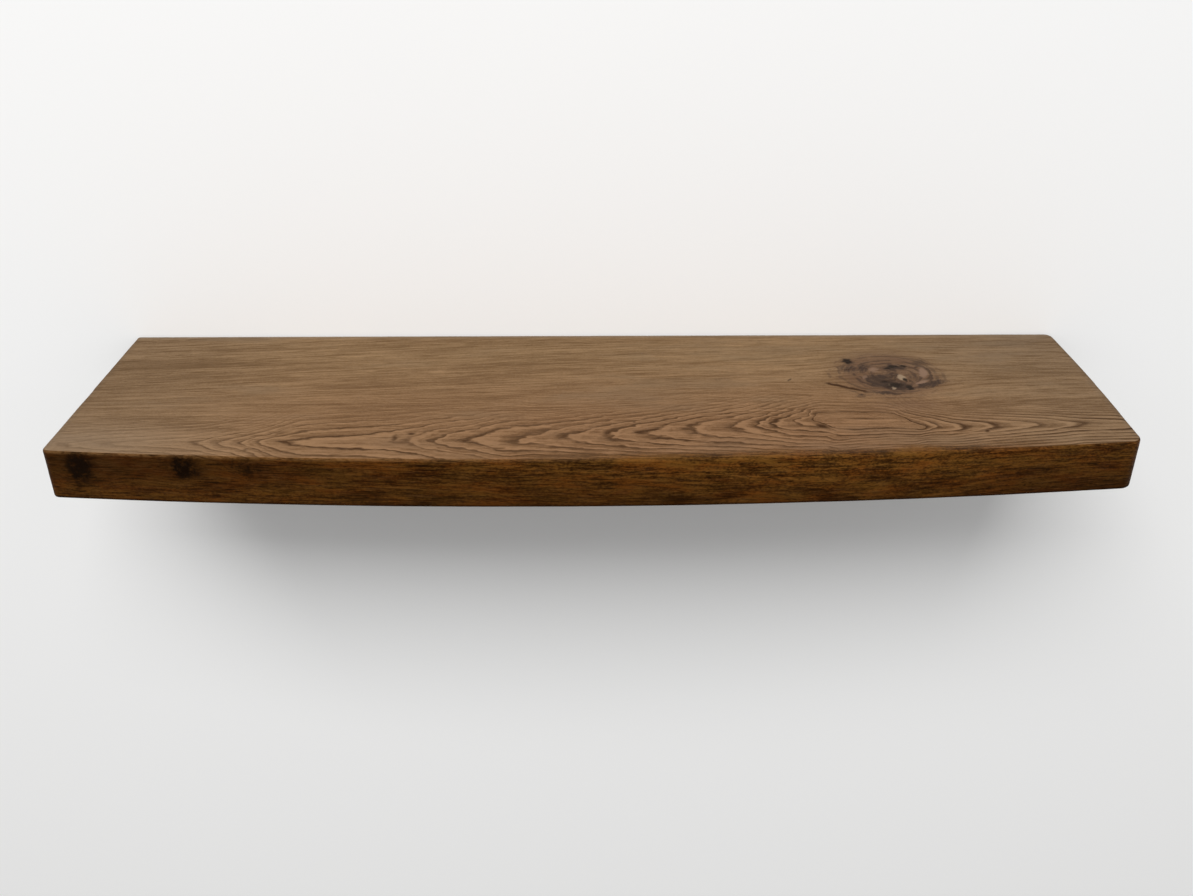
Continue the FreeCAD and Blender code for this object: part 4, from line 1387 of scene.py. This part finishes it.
class OAKSHELF_OT_bracket(Operator):
    """Builds the rods and their weld beads and coats the bar"""
    bl_idname = "oak_shelf.bracket"
    bl_label = "Concealed Bracket"

    def execute(self, context):
        ripple = context.scene.oak_shelf_sizes.weld_ripple
        coat = powder_coat(context.scene.oak_shelf_fittings, shared_wear())
        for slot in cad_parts["bracket_bar"].material_slots:
            slot.material = coat

        shapes = []
        for low, high in map(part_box, RODS):
            radius = high.z
            shapes.append(turned((0, -1, 0), Vector((high.x - radius, high.y, 0.0)),
                                 rod_profile(radius, high.y - low.y), 96))
        rods = joined("round_rods", shapes, coat)
        show_smooth(rods, BOARD_SHARP)
        finished(rods, "bracket", "bracket_coat", *RODS)

        beads = joined("rippled_welds", [
            weld_bead(*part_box(weld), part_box(rod)[1].z, ripple, number)
            for number, (rod, weld) in enumerate(zip(RODS, WELDS))], coat)
        beads.data.shade_smooth()
        finished(beads, "bracket", "bracket_coat", *WELDS)
        return {"FINISHED"}


class OAKSHELF_OT_wall_fixings(Operator):
    """Builds the wall screws and the nylon plugs they are driven into"""
    bl_idname = "oak_shelf.wall_fixings"
    bl_label = "Wall Screws and Plugs"

    def execute(self, context):
        sizes = context.scene.oak_shelf_sizes
        finish = context.scene.oak_shelf_fittings
        rod_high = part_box(RODS[0])[1]
        first_rod = rod_high.x - rod_high.z
        low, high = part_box(SCREWS[0])
        head, reach = high.z, high.y - low.y
        shank = head / 2
        rim, flat, plain, point = 0.0002, 0.0005, 0.012, 0.006
        profile = [(0.0, 0.0), (0.0, head - rim), (rim, head), (flat, head),
                   (flat + head - shank, shank), (plain, shank), (reach - point, shank),
                   (reach - rim, 0.0003), (reach, 0.0)]
        blank = blank_from("screw_blank", profile, sizes.screw_pitch / 11, (plain, reach), 24)
        cut(blank, plus_prism("cross_recess", span=0.0056, width=0.0013, depth=0.0022, taper=0.42))
        together = {"Rows": len(RODS), "Row Spacing": -first_rod, "Pair": 2,
                    "Pair Offset": first_rod - (high.x - head), "Turn": (-math.pi / 2, 0.0, 0.0)}
        screw_finish = bright_metal("zinc_steel", finish.zinc, finish.zinc_dark, shared_wear(),
                                    0.24, (0.5, 0.5, 9.0), 0.6)
        row = from_tree("cross_head_screws", blank, shared_thread(), {
            **together, "Pitch": sizes.screw_pitch, "Depth": sizes.screw_thread,
            "Crest Sharpness": 3.0, "Thread Start": plain + 0.002, "Thread End": reach,
            "Least Radius": 0.0004, "First Place": (first_rod, low.y, 0.0), "Finish": screw_finish})
        finished(row, "bracket", "zinc_steel", *SCREWS)

        low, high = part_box(PLUGS[0])
        outer, reach, inner = high.z, high.y - low.y, shank + 0.00005
        rim, collar, nose, slit_start = 0.0003, 0.003, 0.003, 0.009
        profile = [(0.0, inner), (0.0, outer - rim), (rim, outer), (collar, outer),
                   (reach - nose, outer), (reach, outer - 0.0010), (reach, inner)]
        blank = blank_tube("plug_blank", profile, sizes.plug_pitch / 9, (collar, reach), 40)
        for turn_by in (45.0, 135.0):
            slit = mesh_from("slit", *box_solid(Vector((-outer * 1.2, -0.0005, slit_start)),
                                                Vector((outer * 1.2, 0.0005, reach - nose))))
            slit.data.transform(Matrix.Rotation(math.radians(turn_by), 4, "Z"))
            cut(blank, slit)
        row = from_tree("ribbed_plugs", blank, shared_thread(), {
            **together, "Pitch": sizes.plug_pitch, "Depth": sizes.plug_rib,
            "Crest Sharpness": 1.6, "Thread Start": collar + 0.0002, "Thread End": reach - nose,
            "Least Radius": outer * 0.9, "Helix": 0.0, "First Place": (first_rod, low.y, 0.0),
            "Finish": moulded_nylon(finish, shared_wear())})
        finished(row, "bracket", "grey_nylon", *PLUGS)
        return {"FINISHED"}


class OAKSHELF_OT_lock_fixings(Operator):
    """Builds the brass inserts and the set screws that lock the board on its rods"""
    bl_idname = "oak_shelf.lock_fixings"
    bl_label = "Inserts and Lock Screws"

    def execute(self, context):
        sizes = context.scene.oak_shelf_sizes
        finish = context.scene.oak_shelf_fittings
        low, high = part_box(INSERTS[0])
        outer, tall = (high.y - low.y) / 2, high.z - low.z
        screw_low, screw_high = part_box(next(iter(LOCK_SCREWS)))
        radius = (screw_high.y - screw_low.y) / 2
        bore, ease, slot_depth, slot_half = radius + 0.0001, 0.0004, 0.0016, 0.0007
        profile = [(0.0, bore + ease), (0.0, outer - ease), (ease, outer), (slot_depth, outer),
                   (tall - ease, outer), (tall, outer - ease), (tall, bore + ease),
                   (tall - ease, bore), (ease, bore)]
        blank = blank_tube("insert_blank", profile, sizes.insert_pitch / 10, (0.0, tall), 48)
        cut(blank, mesh_from("driver_slot", *box_solid(Vector((-outer * 1.2, -slot_half, -0.001)),
                                                       Vector((outer * 1.2, slot_half, slot_depth)))))
        place = Vector((low.x + outer, low.y + outer, low.z))
        brass = bright_metal("brass", finish.brass, finish.brass_dark, shared_wear(), 0.26,
                             (0.3, 0.3, 4.0), 0.5)
        row = from_tree("slotted_inserts", blank, shared_thread(), {
            "Pitch": sizes.insert_pitch, "Depth": sizes.insert_thread, "Crest Sharpness": 1.8,
            "Thread Start": 0.0018, "Thread End": tall, "Least Radius": outer * 0.92,
            "First Place": place, "Rows": 2, "Row Spacing": -2 * place.x, "Finish": brass})
        finished(row, "shelf", "brass", *INSERTS)

        black = bright_metal("black_oxide_steel", finish.oxide, finish.oxide_dark, shared_wear(),
                             0.34, (0.4, 0.4, 5.0), 1.0)
        point, hexagon = 0.0012, [(-0.001, 0.0), (-0.001, 0.00173), (0.004, 0.00173), (0.0046, 0.0)]
        for name, body in LOCK_SCREWS.items():
            low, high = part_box(name)
            tall = high.z - low.z
            profile = [(0.0, 0.0), (0.0, radius - ease), (ease, radius), (tall - point, radius),
                       (tall, radius - point), (tall, 0.0)]
            blank = blank_from("lock_blank", profile, sizes.lock_pitch / 9, (ease, tall), 40)
            cut(blank, mesh_from("socket", *turned((0, 0, 1), Vector(), hexagon, 6)))
            piece = from_tree("set_screw_" + body.split("_")[1], blank, shared_thread(), {
                "Pitch": sizes.lock_pitch, "Depth": sizes.lock_thread, "Crest Sharpness": 0.9,
                "Thread Start": ease, "Thread End": tall - point / 2, "Least Radius": radius * 0.75,
                "First Place": Vector((low.x + radius, low.y + radius, low.z)), "Finish": black})
            finished(piece, body, "black_oxide_steel", name)
        return {"FINISHED"}


# ------------------------------------------------------------------ stage

def stage_material(name, tint):
    """A matt surface that hides nothing from behind and takes no light from the object's back."""
    material, tree, _ = new_material(name)
    ray = tree.node("ShaderNodeLightPath").outputs
    seen = tree.most(ray["Is Camera Ray"], ray["Is Glossy Ray"], ray["Is Transmission Ray"])
    behind = tree.node("ShaderNodeNewGeometry").outputs["Backfacing"]
    shown = tree.times(seen, tree.minus(1.0, behind))
    paint = tree.node("ShaderNodeBsdfDiffuse", {"Color": tint}).outputs[0]
    clear = tree.node("ShaderNodeBsdfTransparent").outputs[0]
    mixed = tree.node("ShaderNodeMixShader", {0: shown, 1: clear, 2: paint}).outputs[0]
    tree.node("ShaderNodeOutputMaterial", {"Surface": mixed})
    return material


def stage_plane(name, corners, material):
    """One large sheet of the room, facing the way its corners turn."""
    made = mesh_from(name, corners, [(0, 1, 2, 3)])
    made.data.materials.append(material)


class OAKSHELF_OT_stage(Operator):
    """Sets up the camera, the wall, the floor and the light"""
    bl_idname = "oak_shelf.stage"
    bl_label = "Stage"

    def execute(self, context):
        setup = context.scene.oak_shelf_stage
        paint = stage_material("matt_wall", setup.wall)
        ground = stage_material("matt_floor", setup.floor)
        reach, floor, gap = 4.0, -1.5, 0.0004
        stage_plane("wall", [(-reach, gap, floor), (reach, gap, floor), (reach, gap, reach),
                             (-reach, gap, reach)], paint)
        stage_plane("floor", [(-reach, -2 * reach, floor), (reach, -2 * reach, floor),
                              (reach, gap, floor), (-reach, gap, floor)], ground)

        camera = linked("camera", bpy.data.cameras.new("camera"))
        camera.data.lens = setup.lens
        camera.matrix_world = (
            Matrix.Translation(Vector(setup.camera_place))
            @ Matrix.Rotation(-setup.yaw, 4, "Z")
            @ Matrix.Rotation(math.pi / 2 - setup.pitch, 4, "X")
            @ Matrix.Rotation(setup.roll, 4, "Z"))
        context.scene.camera = camera

        light = bpy.data.lights.new("soft_lamp", "AREA")
        light.shape = "RECTANGLE"
        light.size, light.size_y = 3.8, 2.1
        light.energy = setup.lamp_power
        lamp = linked("soft_lamp", light)
        distance, height, middle = 5.0, math.radians(50.0), -0.12
        lamp.location = (-0.5, middle - distance * math.cos(height), distance * math.sin(height))
        aim = Vector((0.0, middle, 0.0)) - lamp.location
        lamp.rotation_euler = aim.to_track_quat("-Z", "Y").to_euler()

        world = bpy.data.worlds.new("even_light")
        world.use_nodes = True
        world.node_tree.nodes.clear()
        tree = Tree(world.node_tree)
        upward = tree.split(tree.node("ShaderNodeTexCoord").outputs["Generated"])[2]
        strength = tree.smooth(upward, -0.5, 0.5, setup.low_strength, setup.sky_strength)
        back = tree.node("ShaderNodeBackground", {"Color": setup.sky, "Strength": strength}).outputs[0]
        pale = tree.node("ShaderNodeBackground", {"Color": setup.wall, "Strength": 1.0}).outputs[0]
        seen = tree.node("ShaderNodeLightPath").outputs["Is Camera Ray"]
        mixed = tree.node("ShaderNodeMixShader", {0: seen, 1: back, 2: pale}).outputs[0]
        tree.node("ShaderNodeOutputWorld", {"Surface": mixed})
        context.scene.world = world
        context.scene.view_settings.view_transform = "Standard"
        return {"FINISHED"}


# ------------------------------------------------------------------ add-on

class OAKSHELF_PT_panel(Panel):
    """Lists the shelf's pieces and their settings"""
    bl_idname = "OAKSHELF_PT_panel"
    bl_label = "Oak Wall Shelf"
    bl_space_type = "VIEW_3D"
    bl_region_type = "UI"
    bl_category = "Oak Shelf"

    def draw(self, context):
        for operator in OPERATORS:
            self.layout.operator(operator.bl_idname)
        for name in GROUPS:
            box = self.layout.box()
            settings = getattr(context.scene, name)
            for label in settings.__annotations__:
                box.prop(settings, label)


OPERATORS = [OAKSHELF_OT_stage, OAKSHELF_OT_board, OAKSHELF_OT_bracket, OAKSHELF_OT_wall_fixings,
             OAKSHELF_OT_lock_fixings]
GROUPS = {
    "oak_shelf_board": BoardShape,
    "oak_shelf_oak": OakFinish,
    "oak_shelf_fittings": FittingFinish,
    "oak_shelf_sizes": FittingSizes,
    "oak_shelf_stage": StageSetup,
}


def register():
    for group in GROUPS.values():
        bpy.utils.register_class(group)
    for name, group in GROUPS.items():
        setattr(bpy.types.Scene, name, PointerProperty(type=group))
    for operator in OPERATORS:
        bpy.utils.register_class(operator)
    bpy.utils.register_class(OAKSHELF_PT_panel)


def unregister():
    bpy.utils.unregister_class(OAKSHELF_PT_panel)
    for operator in reversed(OPERATORS):
        bpy.utils.unregister_class(operator)
    for name, group in GROUPS.items():
        delattr(bpy.types.Scene, name)
        bpy.utils.unregister_class(group)


def main():
    """Registers the add-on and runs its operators."""
    register()
    bpy.ops.oak_shelf.stage()
    bpy.ops.oak_shelf.board()
    bpy.ops.oak_shelf.bracket()
    bpy.ops.oak_shelf.wall_fixings()
    bpy.ops.oak_shelf.lock_fixings()


if __name__ == "__main__":
    main()
